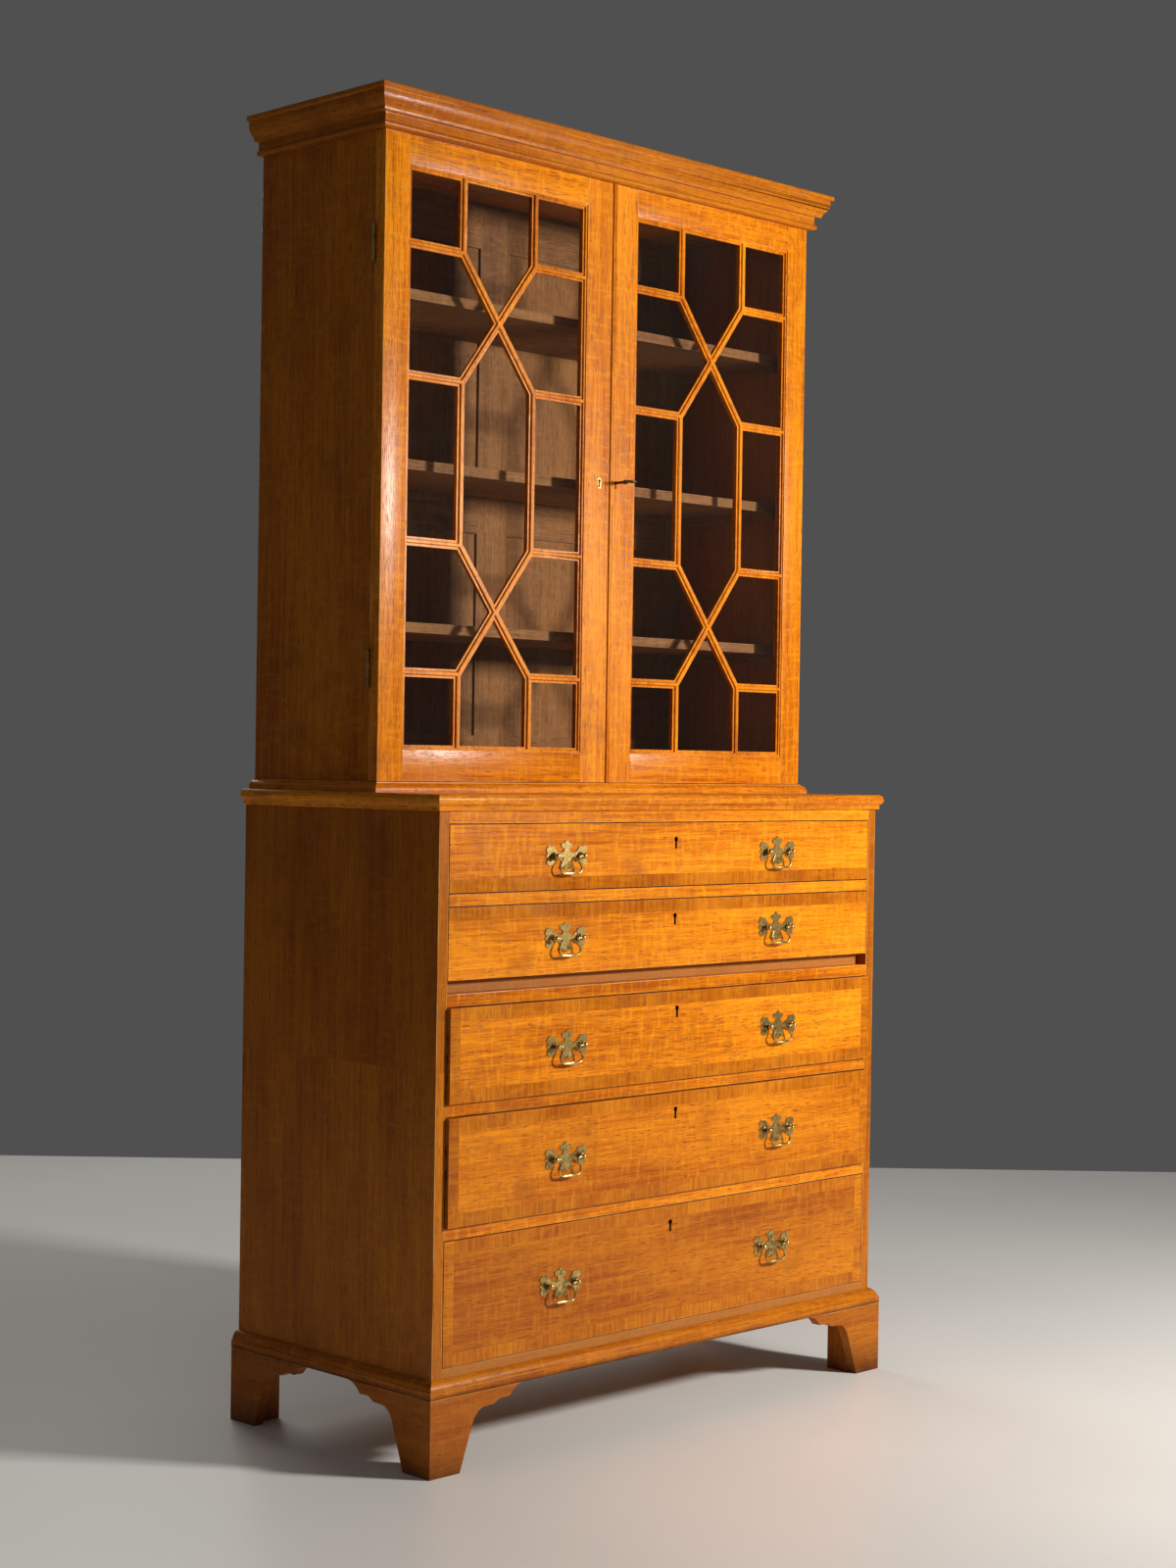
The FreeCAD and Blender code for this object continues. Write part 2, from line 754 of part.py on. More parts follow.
def door_hinges():
    # Two butt hinges on the right door: the case half carries the pin, the door half turns on it
    pivot_x = half_upper + dim.hinge_offset
    leaf_x = (half_upper - dim.leaf_width, half_upper)
    bridge_x = (half_upper, pivot_x)
    case_y = (upper_front, upper_front + dim.leaf_thick)
    door_y = (door_rear - dim.leaf_thick, door_rear)
    sides = dim.barrel_sides
    bore_radius = clear_radius(dim.pin_radius + dim.pin_clearance, sides)
    case_halves = []
    case_leaves = []
    door_halves = []
    door_leaves = []
    middle_length = dim.hinge_length - 2 * dim.knuckle_length - 2 * dim.knuckle_play
    low_foot = door_foot + dim.hinge_inset
    high_foot = door_head - dim.hinge_inset - dim.hinge_length
    for name, foot in (("low", low_foot), ("high", high_foot)):
        whole = (foot, foot + dim.hinge_length)
        pivot = (pivot_x, door_rear, foot)
        case_leaf = board(f"{name}_case_leaf", leaf_x, case_y, whole)
        pin = prism(f"{name}_pin", "Z", pivot, dim.pin_radius, dim.hinge_length, sides)
        pieces = [case_leaf, pin]
        for end, start in (("foot", foot), ("head", foot + dim.hinge_length - dim.knuckle_length)):
            span = (start, start + dim.knuckle_length)
            pieces.append(board(f"{name}_{end}_bridge", bridge_x, case_y, span))
            knuckle_name = f"{name}_{end}_knuckle"
            knuckle_foot = (pivot_x, door_rear, start)
            knuckle = prism(knuckle_name, "Z", knuckle_foot, dim.knuckle_radius, dim.knuckle_length, sides)
            pieces.append(knuckle)
        case_halves.append(joined(f"{name}_case_half", *pieces))
        case_leaves.append(case_leaf)
        middle = foot + dim.knuckle_length + dim.knuckle_play
        door_leaf = board(f"{name}_door_leaf", leaf_x, door_y, whole)
        door_bridge = board(f"{name}_door_bridge", bridge_x, door_y, (middle, middle + middle_length))
        barrel_foot = (pivot_x, door_rear, middle)
        barrel = prism(f"{name}_barrel", "Z", barrel_foot, dim.knuckle_radius, middle_length, sides)
        bore = prism(f"{name}_bore", "Z", pivot, bore_radius, dim.hinge_length, sides)
        solid = joined(f"{name}_door_half", door_leaf, door_bridge, barrel)
        door_halves.append(cut(f"{name}_door_half", solid, bore))
        door_leaves.append(door_leaf)
    right_case = apart("right_case_hinges", *case_halves)
    node("case_hinge_leaves", right_case, mirrored("left_case_hinges", right_case))
    right_leaves = node("right_door_hinge_leaves", *door_halves)
    node("left_door_hinge_leaves", mirrored("left_door_hinges", right_leaves))
    return apart("case_leaf_recesses", *case_leaves), apart("door_leaf_recesses", *door_leaves)


def doors(leaf_recesses):
    near = dim.meeting_gap / 2
    left = near + dim.meeting_stile
    right = half_upper - dim.outer_stile
    foot = door_foot + dim.door_bottom_rail
    head = door_head - dim.door_top_rail
    middle = (foot + head) / 2
    depth = (door_face, door_rear)
    height = (door_foot, door_head)
    tenon_foot = door_face + (dim.door_thick - dim.tenon_thick) / 2
    tenon_depth = (tenon_foot, tenon_foot + dim.tenon_thick)
    tenon_x = (left - dim.tenon_length, right + dim.tenon_length)
    rails = []
    for name, span in (("foot", (door_foot, foot)), ("head", (head, door_head))):
        plain = board(f"door_{name}_plain", (left, right), depth, span)
        tenon_span = (span[0] + dim.tenon_shoulder, span[1] - dim.tenon_shoulder)
        tenon = board(f"door_{name}_tenon", tenon_x, tenon_depth, tenon_span)
        rails.append(joined(f"door_{name}_rail", plain, tenon))
    rail_pair = apart("door_rails", *rails)
    meeting_board = board("meeting_board", (near, left), depth, height)
    outer_board = board("outer_board", (right, half_upper), depth, height)
    meeting_stile = cut("meeting_stile", meeting_board, rail_pair)
    outer_stile = cut("outer_stile", outer_board, rail_pair, leaf_recesses)
    lock_x = (near + dim.lock_setback, near + dim.lock_setback + dim.lock_width)
    key_end = door_rear - dim.lock_depth
    lock_y = (key_end, door_rear)
    lock_z = (middle - dim.lock_height / 2, middle + dim.lock_height / 2)
    lock_case = board("lock_case", lock_x, lock_y, lock_z)
    key_hole = keyhole("key_hole", dim.key_inset, door_face, middle, dim.door_thick - dim.lock_depth)
    ward_start = (dim.key_inset, key_end, middle)
    ward_depth = dim.key_depth + dim.key_play
    ward = prism("lock_ward", "Y", ward_start, dim.ward_radius, ward_depth, dim.key_sides)
    node("door_lock", cut("lock", lock_case, ward))
    right_stile = cut("right_meeting_stile", meeting_stile, lock_case, key_hole)
    node("right_door_frame", right_stile, outer_stile, *rails)
    escutcheon_x = -dim.escutcheon_inset
    rim_y = door_face - dim.escutcheon_proud
    eye = keyhole("left_eye", escutcheon_x, rim_y, middle, dim.door_thick + dim.escutcheon_proud)
    rim = escutcheon(escutcheon_x, rim_y, middle)
    left_meeting = mirrored("left_meeting_board", meeting_stile)
    left_rest = apart("right_frame_rest", outer_stile, *rails)
    left_stile = cut("left_meeting_stile", left_meeting, eye, rim)
    node("left_door_frame", left_stile, mirrored("left_frame_rest", left_rest))
    node("left_door_escutcheon", cut("thread_rim", rim, eye))
    opening = (left, right, foot, head)
    bar_face = door_face + dim.bar_sink
    bars = lattice("glazing", bar_outline, opening, bar_face)
    rings = []
    ring_steps = {"bead": (dim.bead_width / 2, as_size(0)), "fillet": (dim.bar_width / 2, dim.fillet_drop)}
    for name, (wide, start) in ring_steps.items():
        ring_y = (bar_face + start, bar_face + dim.bar_depth)
        full = board(f"{name}_full", (left, right), ring_y, (foot, head))
        clear = board(f"{name}_clear", (left + wide, right - wide), ring_y, (foot + wide, head - wide))
        rings.append(cut(f"{name}_ring", full, clear))
    right_bars = node("right_door_glazing_bars", joined("glazing_lattice", *bars, *rings))
    node("left_door_glazing_bars", mirrored("left_lattice", right_bars))
    glass_y = (bar_face + dim.bar_depth, bar_face + dim.bar_depth + dim.glass_thick)
    play = dim.glass_play
    glass = board("glass_sheet", (left + play, right - play), glass_y, (foot + play, head - play))
    ribs = lattice("rib", rib_outline, opening, bar_face)
    right_panes = node("right_door_panes", cut("panes", glass, *ribs))
    node("left_door_panes", mirrored("left_panes", right_panes))
    reed = dim.reed_width
    base = -dim.reed_base
    bead_outline = [
        (0, 0),
        (0, base),
        (reed, base, dim.reed_radius),
        (2 * reed, base, dim.reed_radius),
        (2 * reed, 0),
    ]
    bead = padded("reeded_bead", "XY_Plane", bead_outline, dim.door_height)
    node("meeting_bead", place(bead, near, door_face, door_foot))
    key(dim.key_inset, middle, key_end)


def escutcheon(x, y, z):
    reach = dim.keyhole_radius + dim.escutcheon_rim
    half_slot = dim.keyhole_slot / 2 + dim.escutcheon_rim
    disc = prism("escutcheon_disc", "Y", (x, y, z), reach, dim.escutcheon_thick, dim.key_sides)
    tail_z = (z - dim.keyhole_drop - dim.escutcheon_rim, z)
    tail = board("escutcheon_tail", (x - half_slot, x + half_slot), (y, y + dim.escutcheon_thick), tail_z)
    return joined("escutcheon_blank", disc, tail)


def key(x, z, lock_face):
    stem_start = door_face - dim.key_reach
    stem_end = lock_face + dim.key_depth
    stem_length = stem_end - stem_start
    stem = prism("key_stem", "Y", (x, stem_start, z), dim.key_stem_radius, stem_length, dim.key_sides)
    width = dim.key_collar_width
    collar_start = (x, stem_start + width, z)
    collar = prism("key_collar", "Y", collar_start, dim.key_collar_radius, width, dim.key_sides)
    half_bow = dim.key_bow_thick / 2
    centre = (x, stem_start - dim.key_bow_hole, z - half_bow)
    bow = cut(
        "key_bow",
        prism("bow_disc", "Z", centre, dim.key_bow_radius, dim.key_bow_thick, dim.key_bow_sides),
        prism("bow_eye", "Z", centre, dim.key_bow_hole, dim.key_bow_thick, dim.key_bow_sides),
    )
    half_bit = dim.key_bit_thick / 2
    bit_y = (lock_face + dim.key_play, stem_end)
    bit = board("key_bit", (x, x + dim.key_bit), bit_y, (z - half_bit, z + half_bit))
    node("door_key", joined("key_whole", stem, collar, bow, bit))


def plate(shank_holes):
    # A fretted plate: wings about the two posts, a vase between them and a three-lobed crest.
    # The right half of its edge from the foot to the crest, as (across, rise) from between the posts.
    right_edge = [
        (0, -24), (7, -21), (9, -17), (14, -21), (16.5, -17), (12, -11), (15, -5), (24, -5),
        (31, -14), (39, -16), (46, -10), (43, -3), (49, 1), (43.5, 4), (47, 11), (41, 18),
        (29, 16), (24.5, 9), (9, 6.5), (6, 12), (13, 16), (12, 22), (5.5, 22), (0, 27),
    ]
    left_edge = [(-across, rise) for across, rise in reversed(right_edge[1:-1])]
    blank = padded("plate_blank", "XZ_Plane", right_edge + left_edge, dim.plate_thick)
    return cut("plate", blank, shank_holes)


def post():
    # A capped post on a square shank through the plate and the wood, a nut behind and a socket for the bail
    half = dim.post_spacing / 2
    radius = dim.post_radius
    face = -dim.plate_thick
    tip = face - dim.post_length
    shoulder = tip + dim.post_cap
    head = prism("post_head", "Y", (half, shoulder, 0), radius, face - shoulder, dim.post_sides)
    cap = prism("post_tip", "Y", (half, tip, 0), dim.post_cap_radius, dim.post_cap, dim.post_sides)
    nut_face = dim.front_thick
    nut_rear = nut_face + dim.nut_thick
    shank_half = dim.shank_width / 2
    nut_half = dim.nut_width / 2
    shank_x = (half - shank_half, half + shank_half)
    shank = board("post_shank", shank_x, (face, nut_rear), (-shank_half, shank_half))
    nut_x = (half - nut_half, half + nut_half)
    nut = board("post_nut", nut_x, (nut_face, nut_rear), (-nut_half, nut_half))
    reach = half - radius + dim.pin_engagement + dim.knuckle_play
    socket_start = (0, face - dim.pivot_reach, 0)
    socket_radius = clear_radius(dim.bail_pin + dim.pin_clearance, dim.post_sides)
    socket = prism("post_socket", "X", socket_start, socket_radius, reach, dim.post_sides)
    return cut("post", joined("post_whole", head, cap, shank, nut), socket)


def bail_stations():
    # Half of the hanging bail, from the pin in the post to the middle: (across, rise, heading, radius)
    half = dim.post_spacing.value / 2
    turn = math.radians(90 + dim.neck_lean.value)
    rod_radius = dim.bail_rod.value
    across = half - dim.neck_start.value
    rise = 0
    heading = math.pi
    pin_end = half - dim.post_radius.value + dim.pin_engagement.value
    stations = [(pin_end, rise, heading, dim.bail_pin.value), (across, rise, heading, dim.bail_pin.value)]
    neck = (dim.neck_radius.value, 1, 2, dim.neck_length.value)
    heel = (dim.foot_radius.value, -1, 3, 0)
    for radius, sign, arc_steps, run in (neck, heel):
        centre_across = across - sign * radius * math.sin(heading)
        centre_rise = rise + sign * radius * math.cos(heading)
        for step in range(1, arc_steps + 1):
            way = heading + sign * turn * step / arc_steps
            across = centre_across + sign * radius * math.sin(way)
            rise = centre_rise - sign * radius * math.cos(way)
            stations.append((across, rise, way, rod_radius))
        heading = way
        if run:
            across += run * math.cos(heading)
            rise += run * math.sin(heading)
            stations.append((across, rise, heading, rod_radius))
    stations.append((0, rise, heading, dim.bail_belly.value))
    return stations


def faceted(name, rings):
    # A solid of flat triangles between neighbouring rings of points, closed by the first and last ring
    faces = [Part.Face(Part.makePolygon(ring + ring[:1])) for ring in (rings[0], rings[-1])]
    for ring, following in zip(rings, rings[1:]):
        for side in range(len(ring)):
            turn = (side + 1) % len(ring)
            near = [ring[side], ring[turn], following[turn]]
            far = [ring[side], following[turn], following[side]]
            for corners in (near, far):
                faces.append(Part.Face(Part.makePolygon(corners + corners[:1])))
    solid = Part.makeSolid(Part.makeShell(faces))
    solid.fix(1e-6, 1e-6, 1e-6)
    feature = doc.addObject("Part::Feature", name)
    feature.Shape = solid
    return feature


def bail():
    # A swan-necked rod of flat sides that swells at the middle, from sections along its bend
    side_count = dimensions["bail_sides"]
    axis_y = -(dim.plate_thick.value + dim.pivot_reach.value)
    right = bail_stations()
    left = [(-across, rise, -heading, radius) for across, rise, heading, radius in reversed(right[:-1])]
    rings = []
    for across, rise, heading, radius in right + left:
        ring = []
        for side in range(side_count):
            angle = math.tau * (side + 0.5) / side_count
            outward = radius * math.cos(angle)
            ring.append(FreeCAD.Vector(
                across - outward * math.sin(heading),
                axis_y + radius * math.sin(angle),
                rise + outward * math.cos(heading),
            ))
        rings.append(ring)
    return faceted("bail_rod", rings)


def handle_parts():
    half = dim.post_spacing / 2
    hole_half = dim.shank_width / 2 + dim.shank_play
    depth = (-dim.plate_thick, dim.front_thick)
    right_hole = board("shank_hole", (half - hole_half, half + hole_half), depth, (-hole_half, hole_half))
    holes = apart("shank_holes", right_hole, mirrored("left_shank_hole", right_hole))
    right_post = post()
    mount = apart("handle_mount", plate(holes), right_post, mirrored("left_post", right_post))
    return SimpleNamespace(mount=mount, bail=bail(), holes=holes)


def fit_handles(owner, face, level, handle):
    # A handle on each side of the front; each bail is a node, the mounts and holes go back to the owner
    mounts = []
    holes = []
    for side, sign in (("left", -1), ("right", 1)):
        spot = (sign * dim.handle_offset, face, level)
        mounts.append(place(apart(f"{owner}_mount_{side}", handle.mount), *spot))
        holes.append(place(apart(f"{owner}_holes_{side}", handle.holes), *spot))
        node(f"{owner}_bail_{side}", place(apart(f"{owner}_bail_{side}_hung", handle.bail), *spot))
    return mounts, holes


def front_lock(owner, face, level):
    half_width = dim.drawer_lock_width / 2
    half_height = dim.drawer_lock_height / 2
    rear = face + dim.front_thick
    depth = (rear - dim.drawer_lock_depth, rear)
    height = (level - half_height, level + half_height)
    case = board(f"{owner}_lock_case", (-half_width, half_width), depth, height)
    hole = keyhole(f"{owner}_keyhole", as_size(0), face, level, dim.front_thick - dim.drawer_lock_depth / 2)
    return case, hole


def drawer(name, floor, opening, ajar, handle):
    face = front - ajar
    front_rear = face + dim.front_thick
    rear = face + dim.drawer_depth
    outside = inner_half - dim.front_gap
    inside = outside - dim.drawer_side
    side_height = opening - dim.drawer_side_drop
    front_z = (floor + dim.front_lift, floor + opening - dim.front_gap)
    outline = [(dim.drawer_depth, 0), (dim.drawer_depth, side_height), (dim.front_thick, side_height)]
    count = dimensions["tail_count"]
    for tail in reversed(range(count)):
        centre = side_height * (2 * tail + 1) / (2 * dim.tail_count)
        outline += [
            (dim.front_thick, centre + dim.tail_root / 2),
            (dim.lap_thick, centre + dim.tail_tip / 2),
            (dim.lap_thick, centre - dim.tail_tip / 2),
            (dim.front_thick, centre - dim.tail_root / 2),
        ]
    outline.append((dim.front_thick, 0))
    side_board = place(padded(f"{name}_side", "YZ_Plane", outline, dim.drawer_side), inside, face, floor)
    side_boards = apart(f"{name}_sides", side_board, mirrored(f"{name}_side_twin", side_board))
    bottom_z = (floor + dim.bottom_lift, floor + dim.bottom_lift + dim.drawer_bottom)
    grooved = inside + dim.groove_depth
    bottom = board(f"{name}_bottom", (-grooved, grooved), (front_rear - dim.groove_depth, rear), bottom_z)
    back_board = board(f"{name}_back", (-inside, inside), (rear - dim.drawer_back, rear),
                       (bottom_z[1], floor + side_height))
    node(f"{name}_box", cut(f"{name}_grooved_sides", side_boards, bottom), bottom, back_board)
    lock_case, key_way = front_lock(name, face, front_z[1] - dim.drawer_keyhole_drop)
    level = (front_z[0] + front_z[1]) / 2 + dim.handle_lift
    mounts, holes = fit_handles(name, face, level, handle)
    blank = board(f"{name}_blank", (-outside, outside), (face, front_rear), front_z)
    node(f"{name}_front", cut(f"{name}_front", blank, side_boards, bottom, lock_case, key_way, *holes))
    node(f"{name}_fittings", lock_case, *mounts)


def fall_hinges(axis_y, axis_z, fall_rear):
    # Two hinges along the foot of the fall: the secretaire half carries the pin
    sides = dim.barrel_sides
    bore_radius = clear_radius(dim.pin_radius + dim.pin_clearance, sides)
    notch = dim.fall_barrel + dim.fall_barrel_room
    length = dim.fall_hinge_length
    middle_length = length - 2 * dim.fall_knuckle - 2 * dim.knuckle_play
    still_halves = []
    still_recesses = []
    fall_halves = []
    fall_recesses = []
    for name, offset in (("left", -1), ("right", 1)):
        start = offset * dim.fall_hinge_spread - length / 2
        span = (start, start + length)
        still_z = (axis_z - dim.leaf_thick, axis_z)
        still_leaf = board(f"{name}_floor_leaf", span, (axis_y + notch, axis_y + dim.fall_leaf), still_z)
        pin = prism(f"{name}_fall_pin", "X", (start, axis_y, axis_z), dim.pin_radius, length, sides)
        pieces = [still_leaf, pin]
        for end, foot in (("near", start), ("far", start + length - dim.fall_knuckle)):
            knuckle_span = (foot, foot + dim.fall_knuckle)
            pieces.append(board(f"{name}_{end}_tongue", knuckle_span, (axis_y, axis_y + notch), still_z))
            knuckle_name = f"{name}_{end}_fall_knuckle"
            knuckle_start = (foot, axis_y, axis_z)
            pieces.append(prism(knuckle_name, "X", knuckle_start, dim.fall_barrel, dim.fall_knuckle, sides))
        still_halves.append(joined(f"{name}_floor_half", *pieces))
        floor_notch = board(f"{name}_floor_notch", span, (axis_y, axis_y + notch), (axis_z - notch, axis_z))
        still_recesses += [still_leaf, floor_notch]
        middle = start + dim.fall_knuckle + dim.knuckle_play
        middle_span = (middle, middle + middle_length)
        fall_y = (fall_rear - dim.leaf_thick, fall_rear)
        fall_leaf = board(f"{name}_fall_leaf", span, fall_y, (axis_z + notch, axis_z + dim.fall_leaf))
        tongue = board(f"{name}_fall_tongue", middle_span, fall_y, (axis_z, axis_z + notch))
        barrel_start = (middle, axis_y, axis_z)
        barrel = prism(f"{name}_fall_barrel", "X", barrel_start, dim.fall_barrel, middle_length, sides)
        bore = prism(f"{name}_fall_bore", "X", (start, axis_y, axis_z), bore_radius, length, sides)
        solid = joined(f"{name}_fall_half", fall_leaf, tongue, barrel)
        fall_halves.append(cut(f"{name}_fall_half", solid, bore))
        notch_y = (fall_rear - notch, fall_rear)
        fall_notch = board(f"{name}_fall_notch", span, notch_y, (axis_z, axis_z + notch))
        fall_recesses += [fall_leaf, fall_notch]
    node("secretaire_hinge_leaves", *still_halves)
    node("fall_hinge_leaves", *fall_halves)
    return apart("floor_recesses", *still_recesses), apart("fall_recesses", *fall_recesses)


def quadrant_stays(axis_y, axis_z, fall_rear, inside):
    # A quarter ring on the fall slides along each side of the secretaire box
    outer_face = inside - dim.stay_play
    inner_face = outer_face - dim.stay_thick
    quarter = doc.addObject("Part::Cylinder", "stay_quarter")
    bind(quarter, {"Radius": dim.stay_radius, "Height": dim.stay_thick})
    quarter.Angle = 90
    x_to_y_to_z = FreeCAD.Rotation(FreeCAD.Vector(1, 1, 1), 120)
    place(quarter, inner_face, axis_y, axis_z, x_to_y_to_z)
    hollow_radius = dim.stay_radius - dim.stay_width
    hollow = rod("stay_hollow", "X", (inner_face, axis_y, axis_z), hollow_radius, dim.stay_thick)
    tail = board("stay_tail", (inner_face, outer_face), (axis_y, axis_y + dim.stay_radius),
                 (axis_z, axis_z + dim.stay_lift))
    ring = cut("stay_ring", quarter, hollow, tail)
    foot_plate = board("stay_foot_plate", (inner_face - dim.stay_foot, outer_face),
                       (fall_rear, axis_y + dim.stay_plate),
                       (axis_z + hollow_radius - dim.stay_foot, axis_z + dim.stay_radius + dim.stay_foot))
    right_stay = joined("right_stay", ring, foot_plate)
    node("quadrant_stays", right_stay, mirrored("left_stay", right_stay))


def secretaire(handle):
    fall_rear = front + dim.front_thick
    axis_y = fall_rear + dim.fall_play
    axis_z = secretaire_floor + dim.secretaire_bottom
    rear = front + dim.secretaire_depth
    outside = inner_half - dim.front_gap
    inside = outside - dim.secretaire_side
    head = top_rail - dim.drawer_side_drop
    floor_recesses, fall_recesses = fall_hinges(axis_y, axis_z, fall_rear)
    width = (-inside, inside)
    side_board = board("secretaire_side_board", (inside, outside), (axis_y, rear), (secretaire_floor, head))
    floor_board = board("secretaire_floor_board", width, (axis_y, rear), (secretaire_floor, axis_z))
    inside_rear = rear - dim.secretaire_back
    back_board = board("secretaire_back_board", width, (inside_rear, rear), (axis_z, head))
    node("secretaire_box", side_board, mirrored("secretaire_side_twin", side_board), back_board,
         cut("secretaire_floor_board", floor_board, floor_recesses))
    nest_y = (inside_rear - dim.pigeon_depth, inside_rear)
    nest_head = axis_z + dim.pigeon_height
    bays = dimensions["pigeon_bays"]
    pitch = (2 * inside - dim.pigeon_board) / dim.pigeon_bays
    boards = [board("pigeon_top", width, nest_y, (nest_head - dim.pigeon_board, nest_head))]
    upright_z = (axis_z, nest_head - dim.pigeon_board)
    for number in range(bays + 1):
        left = number * pitch - inside
        span = (left, left + dim.pigeon_board)
        boards.append(board(f"pigeon_upright_{number}", span, nest_y, upright_z))
    node("pigeonholes", *boards)
    fall_foot = axis_z + dim.fall_play
    fall_head = top_rail - dim.front_gap
    rail_foot = axis_z + dim.false_rail_level
    rail_head = rail_foot + dim.false_rail
    span = (-outside, outside)
    sunk = (front, front + dim.groove_sink)
    grooves = apart(
        "false_rail_grooves",
        board("groove_below", span, sunk, (rail_foot, rail_foot + dim.groove_width)),
        board("groove_above", span, sunk, (rail_head - dim.groove_width, rail_head)),
    )
    mounts = []
    holes = []
    fronts = {"fall_lower": (fall_foot, rail_foot), "fall_upper": (rail_head, fall_head)}
    for name, (foot, head_edge) in fronts.items():
        pair, bores = fit_handles(name, front, (foot + head_edge) / 2 + dim.handle_lift, handle)
        mounts += pair
        holes += bores
    lock_case, key_way = front_lock("fall", front, fall_head - dim.drawer_keyhole_drop)
    false_key_way = keyhole("false_keyhole", as_size(0), front, rail_foot - dim.drawer_keyhole_drop,
                            dim.front_thick - dim.drawer_lock_depth)
    blank = board("fall_blank", span, (front, fall_rear), (fall_foot, fall_head))
    key_ways = (key_way, false_key_way)
    node("fall_panel", cut("fall_panel", blank, grooves, fall_recesses, lock_case, *key_ways, *holes))
    node("fall_fittings", lock_case, *mounts)
    quadrant_stays(axis_y, axis_z, fall_rear, inside)


lower_stage()
lower_mouldings()
feet()
case_recesses, door_recesses = door_hinges()
upper_stage(case_recesses)
upper_mouldings()
doors(door_recesses)
handle_set = handle_parts()
drawer("lower_drawer", lower_floor, dim.lower_opening, as_size(0), handle_set)
drawer("middle_drawer", middle_floor, dim.middle_opening, dim.drawer_ajar, handle_set)
drawer("upper_drawer", upper_floor, dim.upper_opening, dim.drawer_ajar, handle_set)
secretaire(handle_set)
doc.recompute()

for item in doc.Objects:
    if "Invalid" in item.State or "Error" in item.State:
        raise ValueError(f"{item.Name} did not build")
os.makedirs("parts", exist_ok=True)
for item in nodes:
    solids = item.Shape.Solids
    if not solids or not item.Shape.isValid():
        raise ValueError(f"{item.Label} is not a valid solid")
    whole = solids[0] if len(solids) == 1 else Part.makeCompound(solids)
    whole.exportStep(f"parts/{item.Label}.step")
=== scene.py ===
import json
import math
import random

import bmesh
import bpy
from mathutils import Matrix, Vector

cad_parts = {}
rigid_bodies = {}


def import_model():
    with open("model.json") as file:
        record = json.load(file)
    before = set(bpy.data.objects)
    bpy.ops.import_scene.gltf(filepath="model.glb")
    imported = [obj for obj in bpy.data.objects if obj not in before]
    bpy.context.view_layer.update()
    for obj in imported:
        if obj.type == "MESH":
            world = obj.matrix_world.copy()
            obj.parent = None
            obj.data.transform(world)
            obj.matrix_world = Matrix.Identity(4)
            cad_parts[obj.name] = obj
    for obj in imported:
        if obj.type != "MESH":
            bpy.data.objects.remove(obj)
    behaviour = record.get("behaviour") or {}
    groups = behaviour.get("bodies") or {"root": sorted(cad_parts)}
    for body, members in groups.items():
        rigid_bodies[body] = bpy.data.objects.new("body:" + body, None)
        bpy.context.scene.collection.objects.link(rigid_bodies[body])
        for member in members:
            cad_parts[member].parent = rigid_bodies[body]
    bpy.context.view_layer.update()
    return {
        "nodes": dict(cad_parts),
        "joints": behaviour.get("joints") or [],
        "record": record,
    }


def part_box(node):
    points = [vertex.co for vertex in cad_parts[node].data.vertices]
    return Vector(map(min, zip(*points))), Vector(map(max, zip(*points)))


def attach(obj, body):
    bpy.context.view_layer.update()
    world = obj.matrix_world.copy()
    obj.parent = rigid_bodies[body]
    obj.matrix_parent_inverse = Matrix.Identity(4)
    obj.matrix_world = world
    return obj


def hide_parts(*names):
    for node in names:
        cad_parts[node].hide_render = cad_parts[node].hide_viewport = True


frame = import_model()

nodes = frame["nodes"]
bodyOf = {node: body for body, members in frame["record"]["behaviour"]["bodies"].items() for node in members}
slotOf = {row["node"]: row["material_slot"] for row in frame["record"]["subparts"]}
jointOf = {joint["name"]: joint for joint in frame["joints"]}
print("stage: frame loaded,", len(nodes), "nodes")


class Wire:
    # A shader socket that takes part in arithmetic
    def __init__(self, graph, socket):
        self.graph = graph
        self.socket = socket

    def calc(self, operation, first, second):
        node = self.graph.add("ShaderNodeMath", {"operation": operation}, {0: first, 1: second})
        return Wire(self.graph, node.outputs[0])

    def __add__(self, other):
        return self.calc("ADD", self, other)

    def __radd__(self, other):
        return self.calc("ADD", other, self)

    def __sub__(self, other):
        return self.calc("SUBTRACT", self, other)

    def __rsub__(self, other):
        return self.calc("SUBTRACT", other, self)

    def __mul__(self, other):
        return self.calc("MULTIPLY", self, other)

    def __rmul__(self, other):
        return self.calc("MULTIPLY", other, self)


